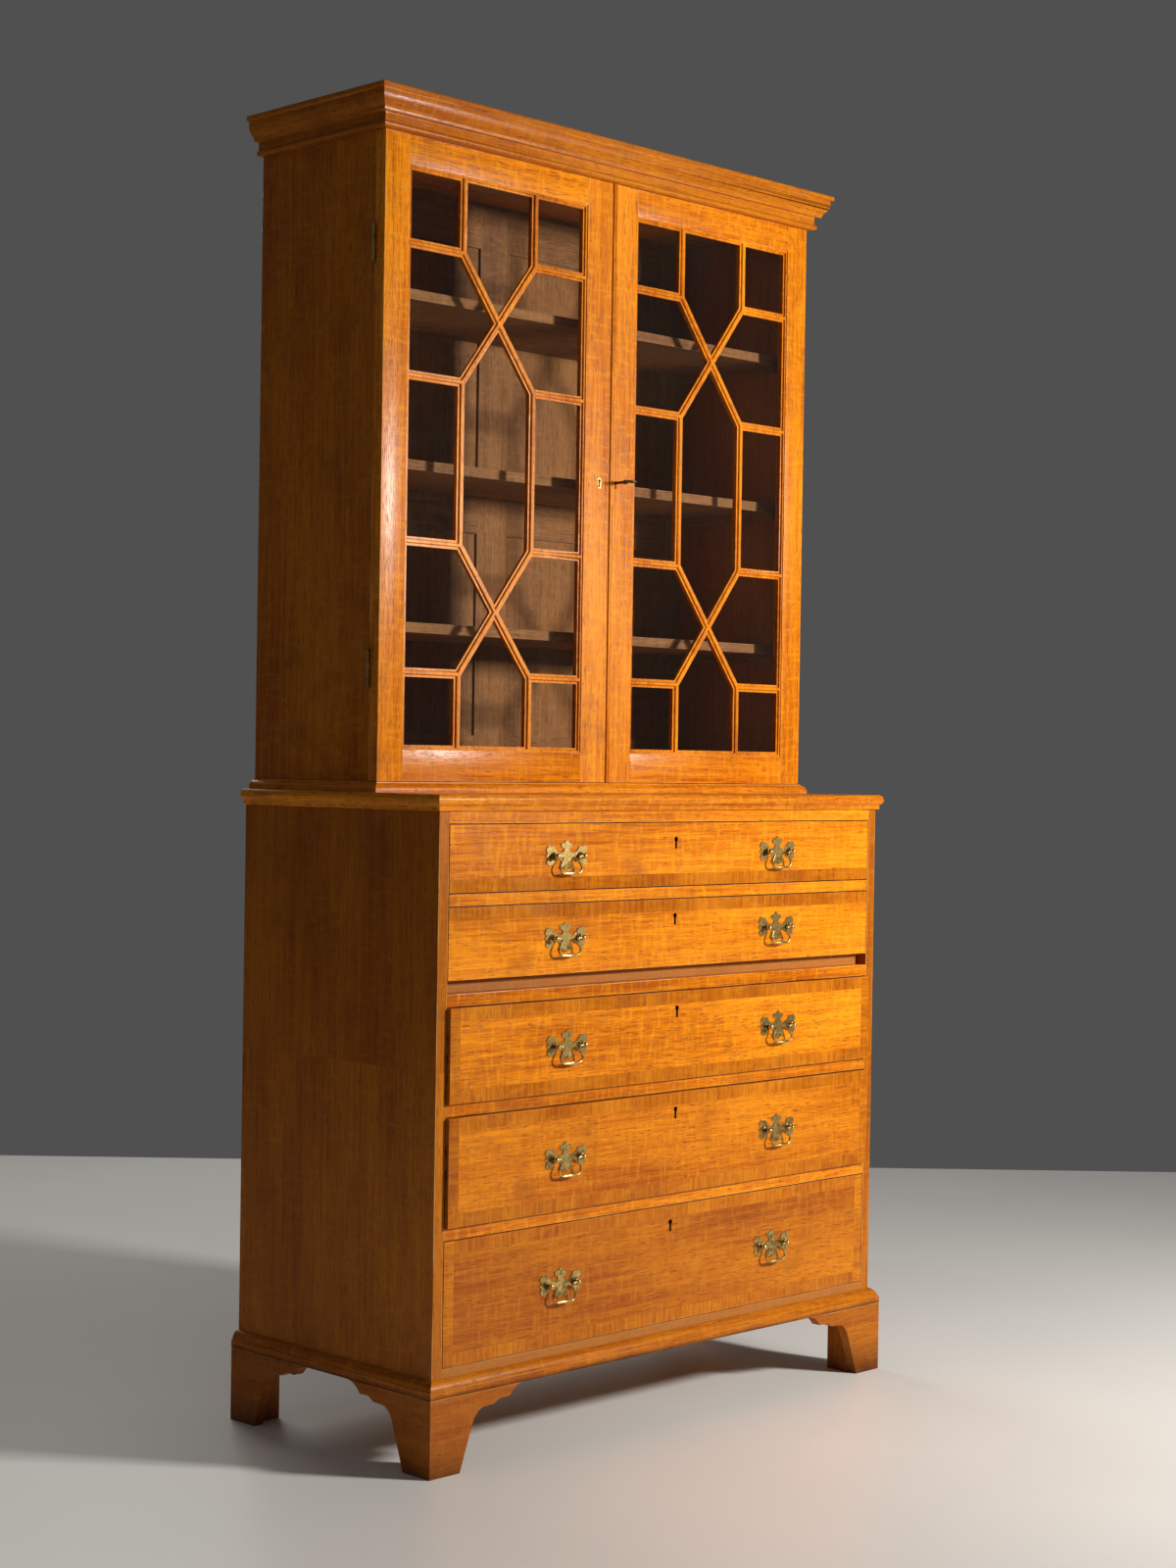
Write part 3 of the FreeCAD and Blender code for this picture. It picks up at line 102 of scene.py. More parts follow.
class Graph:
    # The node tree of one material
    def __init__(self, name):
        self.material = bpy.data.materials.new(name)
        self.material.use_nodes = True
        self.tree = self.material.node_tree
        self.tree.nodes.clear()

    def add(self, kind, settings, sockets):
        node = self.tree.nodes.new(kind)
        for key, value in settings.items():
            setattr(node, key, value)
        for key, value in sockets.items():
            if isinstance(value, Wire):
                self.tree.links.new(value.socket, node.inputs[key])
            else:
                node.inputs[key].default_value = value
        return node

    def wire(self, kind, settings, sockets, output=0):
        return Wire(self, self.add(kind, settings, sockets).outputs[output])

    def ramp(self, value, low, high):
        sockets = {"Value": value, "From Min": low, "From Max": high}
        return self.wire("ShaderNodeMapRange", {"clamp": True}, sockets)

    def mix(self, factor, first, second):
        settings = {"data_type": "RGBA", "clamp_factor": True}
        return Wire(self, self.add("ShaderNodeMix", settings, {0: factor, 6: first, 7: second}).outputs[2])

    def noise(self, vector, scale, detail):
        return self.wire("ShaderNodeTexNoise", {}, {"Vector": vector, "Scale": scale, "Detail": detail})

    def stretch(self, vector, along, across):
        sockets = {0: vector, 1: (along, across, across)}
        return self.wire("ShaderNodeVectorMath", {"operation": "MULTIPLY"}, sockets)

    def attribute(self, name, output):
        return self.wire("ShaderNodeAttribute", {"attribute_name": name}, {}, output)

    def place(self):
        return self.wire("ShaderNodeTexCoord", {}, {}, "Object")

    def bump(self, height, strength, distance):
        sockets = {"Height": height, "Strength": strength, "Distance": distance}
        return self.wire("ShaderNodeBump", {}, sockets)

    def finish(self, sockets):
        shader = self.add("ShaderNodeBsdfPrincipled", {}, sockets)
        self.add("ShaderNodeOutputMaterial", {}, {"Surface": Wire(self, shader.outputs[0])})
        return self.material


def rgb(red, green, blue):
    return (red, green, blue, 1.0)


# How the oak is drawn: layers as stretch along the grain, stretch across it and detail
oakFigure = {
    "cloud": (1.8, 8.0, 3.0),  # broad change of colour
    "ring": (4.0, 130.0, 4.0),  # growth rings
    "fibre": (18.0, 420.0, 3.0),  # fine streaks
    "pore": (55.0, 640.0, 2.0),  # short dark pores
    "ray": (130.0, 30.0, 4.0),  # flecks across the grain
    "stainScale": 11.0,
    "stainDetail": 6.0,
    "shares": {"ring": 0.3, "cloud": 0.4, "fibre": 0.3},
    "grainRange": (0.38, 0.62),
    "rayRange": (0.5, 0.66),
    "poreRange": (0.56, 0.68),
    "stainRange": (0.56, 0.78),
    "wearHighlightRange": (0.38, 0.58),
    "cloudRange": (0.3, 0.7),
    "shadeDarkMottle": 1.2,
    "shadeDarkLeast": 0.4,
    "roughness": {"pore": 0.15, "cloud": 0.12, "stain": 0.2, "shadeDark": 0.4},
    "relief": {"grain": 0.35, "pore": 0.8, "ray": 0.2},
    "reliefDepth": 0.0006,
    "coatRough": 0.28,
}


def oakMaterial(name, look):
    # Grain runs along the first axis of the piece's own wood coordinates
    graph = Graph(name)
    place = graph.attribute("woodPlace", "Vector")
    tone = graph.attribute("woodTone", "Fac")
    wearAndLight = graph.attribute("woodWearAndLight", "Fac")  # rubbed edges above 0, lighter as wear and a painted highlight; below 0 painted shade in grooves and gaps, and darker towards the foot

    def layer(label):
        along, across, detail = oakFigure[label]
        return graph.noise(graph.stretch(place, along, across), 1.0, detail)

    cloud = layer("cloud")
    ring = layer("ring")
    fibre = layer("fibre")
    pore = layer("pore")
    ray = layer("ray")
    stain = graph.noise(place, oakFigure["stainScale"], oakFigure["stainDetail"])
    share = oakFigure["shares"]
    figure = ring * share["ring"] + cloud * share["cloud"] + fibre * share["fibre"]
    grain = graph.ramp(figure, *oakFigure["grainRange"])
    rays = graph.ramp(ray, *oakFigure["rayRange"]) * look["fleck"]
    pores = graph.ramp(pore, *oakFigure["poreRange"]) * look["pore"]
    marks = graph.ramp(stain, *oakFigure["stainRange"]) * look["stain"]
    # Rubbed edges are lighter, as wear and as a painted highlight
    wearHighlight = wearAndLight * graph.ramp(stain, *oakFigure["wearHighlightRange"]) * look["wearHighlight"]
    # Painted shade in grooves, keyholes and the gaps round the fronts, and a darker colour towards the foot
    shadeDark = graph.ramp(0 - wearAndLight, 0.0, 1.0) * (stain * oakFigure["shadeDarkMottle"] + oakFigure["shadeDarkLeast"])
    colour = graph.mix(grain, look["dark"], look["light"])
    colour = graph.mix(rays, colour, look["ray"])
    colour = graph.mix(pores, colour, look["poreColour"])
    colour = graph.mix(marks, colour, look["stainColour"])
    colour = graph.mix(tone, colour, look["bandColour"])
    colour = graph.mix(wearHighlight, colour, look["wearHighlightColour"])
    colour = graph.mix(shadeDark, colour, look["shadeDarkColour"])
    dull = oakFigure["roughness"]
    clouds = graph.ramp(cloud, *oakFigure["cloudRange"])
    rough = look["rough"] + pores * dull["pore"] + clouds * dull["cloud"]
    rough = rough + marks * dull["stain"] + shadeDark * dull["shadeDark"]
    rise = oakFigure["relief"]
    relief = grain * rise["grain"] - pores * rise["pore"] + rays * rise["ray"]
    return graph.finish({
        "Base Color": colour,
        "Roughness": rough,
        "Specular IOR Level": look["specular"],
        "Coat Weight": look["coat"],
        "Coat Roughness": oakFigure["coatRough"],
        "Normal": graph.bump(relief, look["bump"], oakFigure["reliefDepth"]),
    })


metalFigure = {
    "patinaRange": (0.3, 0.72),
    "pitRange": (0.3, 0.7),
    "pitDepth": 0.0004,
    "rubShare": 0.75,  # how much of the tarnish a full rub takes off
    "tarnishRough": 0.22,
    "patinaDetail": 6.0,
    "pitDetail": 3.0,
}


def metalMaterial(name, look):
    # Bright where hands rub, dull and dark elsewhere
    graph = Graph(name)
    place = graph.place()
    patina = graph.noise(place, look["patinaScale"], metalFigure["patinaDetail"])
    pits = graph.noise(place, look["pitScale"], metalFigure["pitDetail"])
    rub = graph.attribute("rubbed", "Fac")
    tarnish = graph.ramp(patina, *metalFigure["patinaRange"]) * (1 - rub * metalFigure["rubShare"])
    relief = graph.ramp(pits, *metalFigure["pitRange"])
    colour = graph.mix(tarnish, look["bright"], look["dull"])
    return graph.finish({
        "Base Color": colour,
        "Metallic": look["metallic"],
        "Roughness": look["rough"] + tarnish * metalFigure["tarnishRough"],
        "Normal": graph.bump(relief, look["bump"], metalFigure["pitDepth"]),
    })


def glassMaterial(name, look):
    graph = Graph(name)
    place = graph.place()
    wave = graph.noise(place, look["waveScale"], look["waveDetail"])
    dust = graph.ramp(graph.noise(place, look["dustScale"], look["dustDetail"]), *look["dustRange"])
    return graph.finish({
        "Base Color": look["tint"],
        "Roughness": look["rough"] + dust * look["dust"],
        "Alpha": look["alpha"] + dust * look["dustAlpha"],
        "Specular IOR Level": look["specular"],
        "Normal": graph.bump(wave, look["bump"], look["waveDepth"]),
    })


polishedOak = {
    "dark": rgb(0.42, 0.085, 0.002),
    "light": rgb(0.95, 0.315, 0.006),
    "ray": rgb(0.95, 0.38, 0.015),
    "fleck": 0.32,
    "poreColour": rgb(0.13, 0.028, 0.002),
    "pore": 0.65,
    "stainColour": rgb(0.2, 0.042, 0.003),
    "stain": 0.45,
    "bandColour": rgb(0.2, 0.045, 0.003),
    "wearHighlightColour": rgb(0.85, 0.48, 0.16),
    "shadeDarkColour": rgb(0.07, 0.016, 0.002),
    "wearHighlight": 0.6,
    "rough": 0.22,
    "specular": 0.14,
    "coat": 0.03,
    "bump": 0.3,
}
plainOak = dict(polishedOak)
plainOak.update({
    "dark": rgb(0.18, 0.067, 0.018),
    "light": rgb(0.42, 0.185, 0.056),
    "ray": rgb(0.42, 0.22, 0.09),
    "poreColour": rgb(0.07, 0.03, 0.012),
    "stainColour": rgb(0.08, 0.035, 0.014),
    "stain": 0.6,
    "bandColour": rgb(0.5, 0.16, 0.01),
    "wearHighlightColour": rgb(0.42, 0.26, 0.13),
    "rough": 0.62,
    "specular": 0.25,
    "coat": 0.0,
})
agedBrass = {
    "bright": rgb(0.72, 0.5, 0.17),
    "dull": rgb(0.12, 0.075, 0.024),
    "metallic": 0.95,
    "rough": 0.22,
    "patinaScale": 150.0,
    "pitScale": 1000.0,
    "bump": 0.2,
}
keyIron = {
    "bright": rgb(0.14, 0.115, 0.095),
    "dull": rgb(0.045, 0.035, 0.028),
    "metallic": 0.85,
    "rough": 0.4,
    "patinaScale": 160.0,
    "pitScale": 1200.0,
    "bump": 0.4,
}
oldGlass = {
    "tint": rgb(0.03, 0.032, 0.026),
    "alpha": 0.08,
    "specular": 0.3,
    "rough": 0.03,
    "dust": 0.08,
    "dustAlpha": 0.04,
    "dustScale": 9.0,
    "dustDetail": 5.0,
    "dustRange": (0.45, 0.75),
    "waveScale": 6.0,
    "waveDetail": 1.0,
    "waveDepth": 0.002,
    "bump": 0.1,
}
materials = {
    "polished_oak": oakMaterial("polishedOak", polishedOak),
    "plain_oak": oakMaterial("plainOak", plainOak),
    "aged_brass": metalMaterial("agedBrass", agedBrass),
    "key_iron": metalMaterial("keyIron", keyIron),
    "old_glass": glassMaterial("oldGlass", oldGlass),
}
print("stage: materials made,", len(materials))

shading = {
    "woodSharp": math.radians(20),
    "metalSharp": math.radians(40),
    "bevelAbove": math.radians(35),
    "flatBelow": math.radians(0.5),
    "bevelSegments": 2,
    "bevelProfile": 0.6,
    "weld": 0.00001,
    "facing": 0.9,  # a face looks along an axis when its normal does so by this much
    "squareOn": 0.99,
}


def islands(shape):
    # Groups of faces joined along plain edges, so boards that only touch stay apart
    left = set(shape.faces)
    found = []
    for start in list(shape.faces):
        if start not in left:
            continue
        left.remove(start)
        stack = [start]
        group = [start]
        while stack:
            face = stack.pop()
            for edge in face.edges:
                for other in edge.link_faces:
                    if other in left and len(edge.link_faces) == 2:
                        left.remove(other)
                        stack.append(other)
                        group.append(other)
        found.append(group)
    return found


def nodeShape(name):
    # A merged copy of a node with its solids apart and its flat faces whole
    shape = bmesh.new()
    shape.from_mesh(nodes[name].data)
    bmesh.ops.remove_doubles(shape, verts=shape.verts, dist=shading["weld"])
    for group in islands(shape)[1:]:
        edges = {edge for face in group for edge in face.edges}
        verts = {vert for face in group for vert in face.verts}
        bmesh.ops.split(shape, geom=group + list(edges) + list(verts))
    bmesh.ops.dissolve_limit(shape, angle_limit=shading["flatBelow"], verts=shape.verts, edges=shape.edges)
    return shape


def sliced(shape, axis, level):
    # Cuts the faces of a shape along a level of one axis, leaving it whole
    normal = Vector((0, 0, 0))
    normal[axis] = 1
    geometry = list(shape.verts) + list(shape.edges) + list(shape.faces)
    bmesh.ops.bisect_plane(shape, geom=geometry, dist=shading["weld"], plane_co=normal * level,
                           plane_no=normal)


def softened(shape, width, shortest):
    # Rounds the sharp edges that are long enough and gives back the new faces
    sharp = [edge for edge in shape.edges
             if len(edge.link_faces) == 2 and edge.calc_length() > shortest
             and edge.calc_face_angle(0) > shading["bevelAbove"]]
    if not width or not sharp:
        return set()
    made = bmesh.ops.bevel(shape, geom=sharp, offset=width, offset_type="OFFSET", affect="EDGES",
                           segments=shading["bevelSegments"], profile=shading["bevelProfile"],
                           clamp_overlap=True)
    return set(made["faces"])


def meshOf(name, shape, sharp):
    mesh = bpy.data.meshes.new(name)
    shape.to_mesh(mesh)
    shape.free()
    mesh.polygons.foreach_set("use_smooth", [True] * len(mesh.polygons))
    mesh.set_sharp_from_angle(angle=sharp)
    return mesh


def shown(name, mesh, node):
    # Puts a finished mesh into the scene on the body of its node and in place of it
    mesh.materials.clear()
    mesh.materials.append(materials[slotOf[node]])
    piece = bpy.data.objects.new(name, mesh)
    bpy.context.scene.collection.objects.link(piece)
    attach(piece, bodyOf[node])
    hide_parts(node)


boards = {
    "board": {"bevel": 0.0011, "shortest": 0.04},
    "crisp": {"bevel": 0.0003, "shortest": 0.04},
    "bars": {"bevel": 0.0, "shortest": 1.0},
    "bandWidth": 0.021,
    "bandTone": 0.42,
    "shadeDepth": 0.0005,  # the parts of a front that lie deeper than this get painted shade
    "edgeShade": 0.4,  # painted shade on the outer edges of a front
    "edgeReach": 0.002,
    "keyholeScale": 1.45,  # the part's own keyholes came out about this much too small
    "keyholeReach": 0.008,
    "keyholeGap": 0.021,  # corners further apart than this belong to different keyholes
    "railHeight": 0.2,  # what is taller than this in a framed back has upright grain
    "grainShift": 9.0,
    "bandShift": 2.0,
    "toneSpread": 0.12,
    "lipTone": 0.6,  # polished front edges of a plain box
    "falseRailRise": 0.1147,  # from the foot of the fall to the foot of its false rail
    "falseRailHeight": 0.023,
}
crispEdges = {"cornice", "waist_moulding", "top_moulding", "base_moulding", "meeting_bead", "fall_panel"}
lippedFronts = {"secretaire_box", "lower_bottom"}
# how high and how strongly the colour darkens upwards from the foot of a piece
footDarkening = {
    "bracket_feet": {"reach": 0.06, "amount": 0.75},
    "base_moulding": {"reach": 0.008, "amount": 0.9},
}
uprightGrain = {"lower_side_left", "lower_side_right", "lower_back"}
framedBacks = {"upper_back"}
# Parts with a darker tone; on the cornice, the bracket feet and the lowest drawer front this is partly
# painted shade, darker where the lamp's light falls off
darkerToneAndShade = {
    "cornice": 0.42,
    "bracket_feet": 0.55,
    "base_moulding": 0.35,
    "lower_drawer_front": 0.35,
    "middle_drawer_front": 0.12,
    "lower_side_left": 0.5,
    "lower_side_right": 0.5,
    "upper_side_left": 0.5,
    "upper_side_right": 0.5,
}
bandedFronts = {"lower_drawer_front", "middle_drawer_front", "upper_drawer_front"}


def bandStrips(name):
    # Strips of cross-banding on a front as (axis, from, to), its ends before its long edges
    low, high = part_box(name)
    width = boards["bandWidth"]
    if name in bandedFronts:
        return [(0, low.x, low.x + width), (0, high.x - width, high.x),
                (2, low.z, low.z + width), (2, high.z - width, high.z)]
    if name == "fall_panel":
        foot = low.z + boards["falseRailRise"]
        head = foot + boards["falseRailHeight"]
        return [(2, foot - width, foot), (2, head, head + width)]
    return []


def stripOf(centre, strips):
    for axis, start, end in strips:
        if start < centre[axis] < end:
            return axis
    return None


def largerKeyholes(shape):
    # Widens each keyhole of a front about its own middle
    near = sorted((vert for vert in shape.verts if abs(vert.co.x) < boards["keyholeReach"]),
                  key=lambda vert: vert.co.z)
    holes = []
    for vert in near:
        if not holes or vert.co.z - holes[-1][-1].co.z > boards["keyholeGap"]:
            holes.append([])
        holes[-1].append(vert)
    for hole in holes:
        middle = (hole[0].co.z + hole[-1].co.z) / 2
        for vert in hole:
            vert.co.x *= boards["keyholeScale"]
            vert.co.z = middle + (vert.co.z - middle) * boards["keyholeScale"]


def frontShade(face, low, high):
    # Painted shade: full in grooves and keyholes, less on the outer edges, none on the flat of a front
    centre = face.calc_center_median()
    if face.normal.y > shading["facing"]:
        return 0.0
    if face.normal.y < -shading["facing"]:
        return 1.0 if centre.y > low.y + boards["shadeDepth"] else 0.0
    gaps = [abs(centre[axis] - limit[axis]) for axis in (0, 2) for limit in (low, high)]
    return boards["edgeShade"] if min(gaps) < boards["edgeReach"] else 1.0


def woodShape(name):
    shape = nodeShape(name)
    strips = bandStrips(name)
    if strips:
        largerKeyholes(shape)
    for axis, start, end in strips:
        sliced(shape, axis, start)
        sliced(shape, axis, end)
    low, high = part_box(name)
    footFade = footDarkening.get(name)
    if footFade:
        sliced(shape, 2, low.z + footFade["reach"])
    placeLayer = shape.loops.layers.float_vector.new("woodPlace")
    toneLayer = shape.loops.layers.float.new("woodTone")
    wearLightLayer = shape.loops.layers.float.new("woodWearAndLight")
    kind = "crisp" if name in crispEdges else "bars" if "glazing" in name else "board"
    # The bevelled edges are lighter, as wear and as a painted highlight
    wearAndLight = softened(shape, boards[kind]["bevel"], boards[kind]["shortest"])
    for vert in shape.verts:
        vert.co = [min(max(vert.co[axis], low[axis]), high[axis]) for axis in range(3)]
    dice = random.Random(name)
    for group in islands(shape):
        corners = [vert.co for face in group for vert in face.verts]
        size = [max(c[axis] for c in corners) - min(c[axis] for c in corners) for axis in range(3)]
        panel = name in framedBacks and size[2] > boards["railHeight"]
        grainAxis = 2 if panel or name in uprightGrain else size.index(max(size))
        shift = Vector([dice.uniform(0, boards["grainShift"]) for _ in range(3)])
        tone = darkerToneAndShade.get(name, 0.0) + dice.uniform(0, boards["toneSpread"])
        for face in group:
            ahead = face.normal.y < -shading["facing"]
            strip = stripOf(face.calc_center_median(), strips) if ahead else None
            shadeDark = frontShade(face, low, high) if strips else 0.0
            lipped = name in lippedFronts and ahead
            along = grainAxis if strip is None else strip
            order = [along] + [other for other in range(3) if other != along]
            offset = shift if strip is None else shift * boards["bandShift"]
            for loop in face.loops:
                loop[placeLayer] = Vector([loop.vert.co[index] for index in order]) + offset
                plainTone = boards["lipTone"] if lipped else tone
                loop[toneLayer] = plainTone if strip is None else boards["bandTone"]
                if footFade:
                    climb = (loop.vert.co.z - low.z) / footFade["reach"]
                    shadeDark = footFade["amount"] * max(0.0, 1 - climb)
                # Below 0: painted shade in grooves and gaps, and the darkening towards the foot; 1 on rubbed
                # edges, lighter as wear and a painted highlight
                loop[wearLightLayer] = -shadeDark if shadeDark else 1.0 if face in wearAndLight else 0.0
    return shape


woodNodes = [name for name in nodes if slotOf[name] in ("polished_oak", "plain_oak")]
for name in woodNodes:
    shown(f"{name}_wood", meshOf(f"{name}_wood", woodShape(name), shading["woodSharp"]), name)
print("stage: wood finished,", len(woodNodes), "pieces")

for name in nodes:
    if slotOf[name] == "old_glass":
        nodes[name].data.materials.clear()
        nodes[name].data.materials.append(materials["old_glass"])


def metalShape(name=None):
    # A shape, empty or from a node, that knows how bright each face is rubbed
    shape = nodeShape(name) if name else bmesh.new()
    shape.faces.layers.float.new("rubbed")
    return shape


def rubbed(shape, faces, amount):
    # Marks the faces that hands keep bright
    layer = shape.faces.layers.float["rubbed"]
    for face in faces:
        face[layer] = amount


def turned(shape, profile, segments, place):
    # A turned form about an axis along Y, from a profile of (radius, depth)
    rings = []
    for radius, depth in profile:
        ring = []
        for step in range(segments):
            angle = math.tau * step / segments
            spoke = Vector((radius * math.cos(angle), depth, radius * math.sin(angle)))
            ring.append(shape.verts.new(place + spoke))
        rings.append(ring)
    made = [shape.faces.new(rings[0]), shape.faces.new(rings[-1])]
    for ring, following in zip(rings, rings[1:]):
        for step in range(segments):
            after = (step + 1) % segments
            made.append(shape.faces.new((ring[step], ring[after], following[after], following[step])))
    return made


def block(shape, low, high):
    corners = [(x, y, z) for x in (low[0], high[0]) for y in (low[1], high[1]) for z in (low[2], high[2])]
    verts = [shape.verts.new(corner) for corner in corners]
    for side in ((0, 1, 3, 2), (4, 6, 7, 5), (0, 4, 5, 1), (2, 3, 7, 6), (0, 2, 6, 4), (1, 5, 7, 3)):
        shape.faces.new([verts[index] for index in side])


def smoothLoop(points, steps):
    # A closed curve through the points
    count = len(points)
    curve = []
    for index in range(count):
        before, here, after, beyond = (Vector(points[(index + shift) % count]) for shift in (-1, 0, 1, 2))
        for step in range(steps):
            t = step / steps
            bend = 2 * before - 5 * here + 4 * after - beyond
            twist = 3 * here - before - 3 * after + beyond
            curve.append((2 * here + (after - before) * t + bend * t ** 2 + twist * t ** 3) / 2)
    return curve


def nodeTree(name, inputs):
    # An empty Geometry Nodes tree with a geometry in and out and the named inputs
    tree = bpy.data.node_groups.new(name, "GeometryNodeTree")
    tree.interface.new_socket("Geometry", in_out="INPUT", socket_type="NodeSocketGeometry")
    for label, kind in inputs.items():
        tree.interface.new_socket(label, in_out="INPUT", socket_type=kind)
    tree.interface.new_socket("Geometry", in_out="OUTPUT", socket_type="NodeSocketGeometry")
    return tree, tree.nodes.new("NodeGroupInput"), tree.nodes.new("NodeGroupOutput")


def treeNode(tree, kind, settings, sockets):
    node = tree.nodes.new(kind)
    for key, value in settings.items():
        setattr(node, key, value)
    for key, value in sockets.items():
        if isinstance(value, bpy.types.NodeSocket):
            tree.links.new(value, node.inputs[key])
        else:
            node.inputs[key].default_value = value
    return node


def closeTree(tree, geometry, entry, outlet):
    real = treeNode(tree, "GeometryNodeRealizeInstances", {}, {"Geometry": geometry})
    sockets = {"Geometry": real.outputs[0], "Material": entry.outputs["Finish"]}
    finish = treeNode(tree, "GeometryNodeSetMaterial", {}, sockets)
    tree.links.new(finish.outputs[0], outlet.inputs["Geometry"])


def grown(name, data, tree, values):
    # Runs a tree on some data and gives back its result as a plain mesh
    holder = bpy.data.objects.new(name, data)
    bpy.context.scene.collection.objects.link(holder)
    modifier = holder.modifiers.new(name, "NODES")
    modifier.node_group = tree
    labels = {item.name: item.identifier for item in tree.interface.items_tree if item.in_out == "INPUT"}
    for label, value in values.items():
        modifier[labels[label]] = value
    bpy.context.view_layer.update()
    mesh = bpy.data.meshes.new_from_object(holder.evaluated_get(bpy.context.evaluated_depsgraph_get()))
    holder.modifiers.remove(modifier)
    bpy.data.objects.remove(holder)
    return mesh


def repeatTree():
    # One shape on each point, spun by a seeded amount
    inputs = {"Shape": "NodeSocketObject", "Finish": "NodeSocketMaterial", "Spin": "NodeSocketVector",
              "Seed": "NodeSocketInt"}
    tree, entry, outlet = nodeTree("repeatedShapes", inputs)
    shape = treeNode(tree, "GeometryNodeObjectInfo", {}, {"Object": entry.outputs["Shape"]})
    sockets = {"Max": entry.outputs["Spin"], "Seed": entry.outputs["Seed"]}
    spin = treeNode(tree, "FunctionNodeRandomValue", {"data_type": "FLOAT_VECTOR"}, sockets)
    sockets = {"Points": entry.outputs["Geometry"], "Instance": shape.outputs["Geometry"],
               "Rotation": spin.outputs["Value"]}
    copies = treeNode(tree, "GeometryNodeInstanceOnPoints", {}, sockets)
    closeTree(tree, copies.outputs[0], entry, outlet)
    return tree


repeats = repeatTree()
spinSeed = 4


def repeated(name, points, patternMesh, spin, finish):
    pattern = bpy.data.objects.new(f"{name}_pattern", patternMesh)
    bpy.context.scene.collection.objects.link(pattern)
    spots = bpy.data.meshes.new(name)
    spots.from_pydata([tuple(point) for point in points], [], [])
    values = {"Shape": pattern, "Finish": finish, "Spin": spin, "Seed": spinSeed}
    mesh = grown(name, spots, repeats, values)
    bpy.data.objects.remove(pattern)
    return mesh


# Bevels of the fittings that keep the part's own shape
fittingEdges = {
    "lock": {"bevel": 0.0004, "shortest": 0.002},
    "leaf": {"bevel": 0.0003, "shortest": 0.0015},
}
handle = {
    "spacing": 0.062,
    "plate": 0.0018,
    "rim": 0.0006,
    "smooth": 3,
    "pivotReach": 0.0105,
    "neck": 0.0078,  # a post is dark up to here from the wood, with tarnish and painted shade
    "rimRub": 1.0,
    "postRub": 0.6,
    "neckShadeRub": -2.0,
    "shank": 0.005,
    "nut": 0.011,
    "nutThick": 0.004,
    "front": 0.02,
    "segments": 28,
    # right half of the plate's edge from foot to crest, in millimetres from between the posts
    "edge": [(0, -24), (5, -22.5), (8.4, -18), (13, -21.5), (17, -18), (13, -11), (14.5, -6), (22, -5.5),
             (30.5, -13.5), (38.5, -16.2), (45.6, -11), (43.2, -3.4), (48.6, 0.6), (43.8, 4.2), (47.2, 10.5),
             (42, 17.6), (35, 16.2), (29, 16), (24.2, 9.2), (15, 5.2), (8.6, 7), (6.2, 12), (12.6, 15),
             (12.4, 21), (6.2, 21.6), (0, 27)],
    # radius and reach of a post, in millimetres from the plate outwards
    "post": [(6.6, 0), (6.8, 0.7), (6.2, 1.5), (4.2, 2.0), (3.5, 3.2), (3.4, 5), (4.1, 6), (4.9, 7.4),
             (5.2, 9.4), (5.1, 11.2), (4.3, 13), (3, 14.2), (1.5, 14.9)],
}


def handleMount():
    # A fret-cut plate with its two posts, their shanks and nuts; the face of the wood is at y = 0
    shape = metalShape()
    right = [(x / 1000, z / 1000) for x, z in handle["edge"]]
    outline = right + [(-x, z) for x, z in reversed(right[1:-1])]
    curve = smoothLoop(outline, handle["smooth"])
    blank = shape.faces.new([shape.verts.new((point[0], 0, point[1])) for point in curve])
    raised = bmesh.ops.extrude_face_region(shape, geom=[blank])
    top = {item for item in raised["geom"] if isinstance(item, bmesh.types.BMVert)}
    bmesh.ops.translate(shape, verts=list(top), vec=(0, -handle["plate"], 0))
    rim = [edge for edge in shape.edges if all(vert in top for vert in edge.verts)]
    made = bmesh.ops.bevel(shape, geom=rim, offset=handle["rim"], offset_type="OFFSET", segments=1,
                           affect="EDGES", clamp_overlap=True)
    rubbed(shape, made["faces"], handle["rimRub"])
    profile = [(radius / 1000, -handle["plate"] - reach / 1000) for radius, reach in handle["post"]]
    half = handle["shank"] / 2
    nut = handle["nut"] / 2
    rear = handle["front"] + handle["nutThick"]
    for x in (-handle["spacing"] / 2, handle["spacing"] / 2):
        post = turned(shape, profile, handle["segments"], Vector((x, 0, 0)))
        rubbed(shape, post, handle["postRub"])
        neck = [face for face in post if face.calc_center_median().y > -handle["neck"]]
        # The post necks are darker, as tarnish in the hollow and as painted shade
        rubbed(shape, neck, handle["neckShadeRub"])
        block(shape, (x - half, 0, -half), (x + half, rear, half))
        block(shape, (x - nut, handle["front"], -nut), (x + nut, rear, nut))
    bmesh.ops.recalc_face_normals(shape, faces=shape.faces)
    return meshOf("handleMount", shape, shading["metalSharp"])


def keepLock(name):
    # The lock of a fittings node: the solid across its middle
    shape = metalShape(name)
    for group in islands(shape):
        if max(abs(vert.co.x) for face in group for vert in face.verts) > handle["spacing"]:
            bmesh.ops.delete(shape, geom=group, context="FACES")
    edges = fittingEdges["lock"]
    rubbed(shape, softened(shape, edges["bevel"], edges["shortest"]), handle["rimRub"])
    return shape


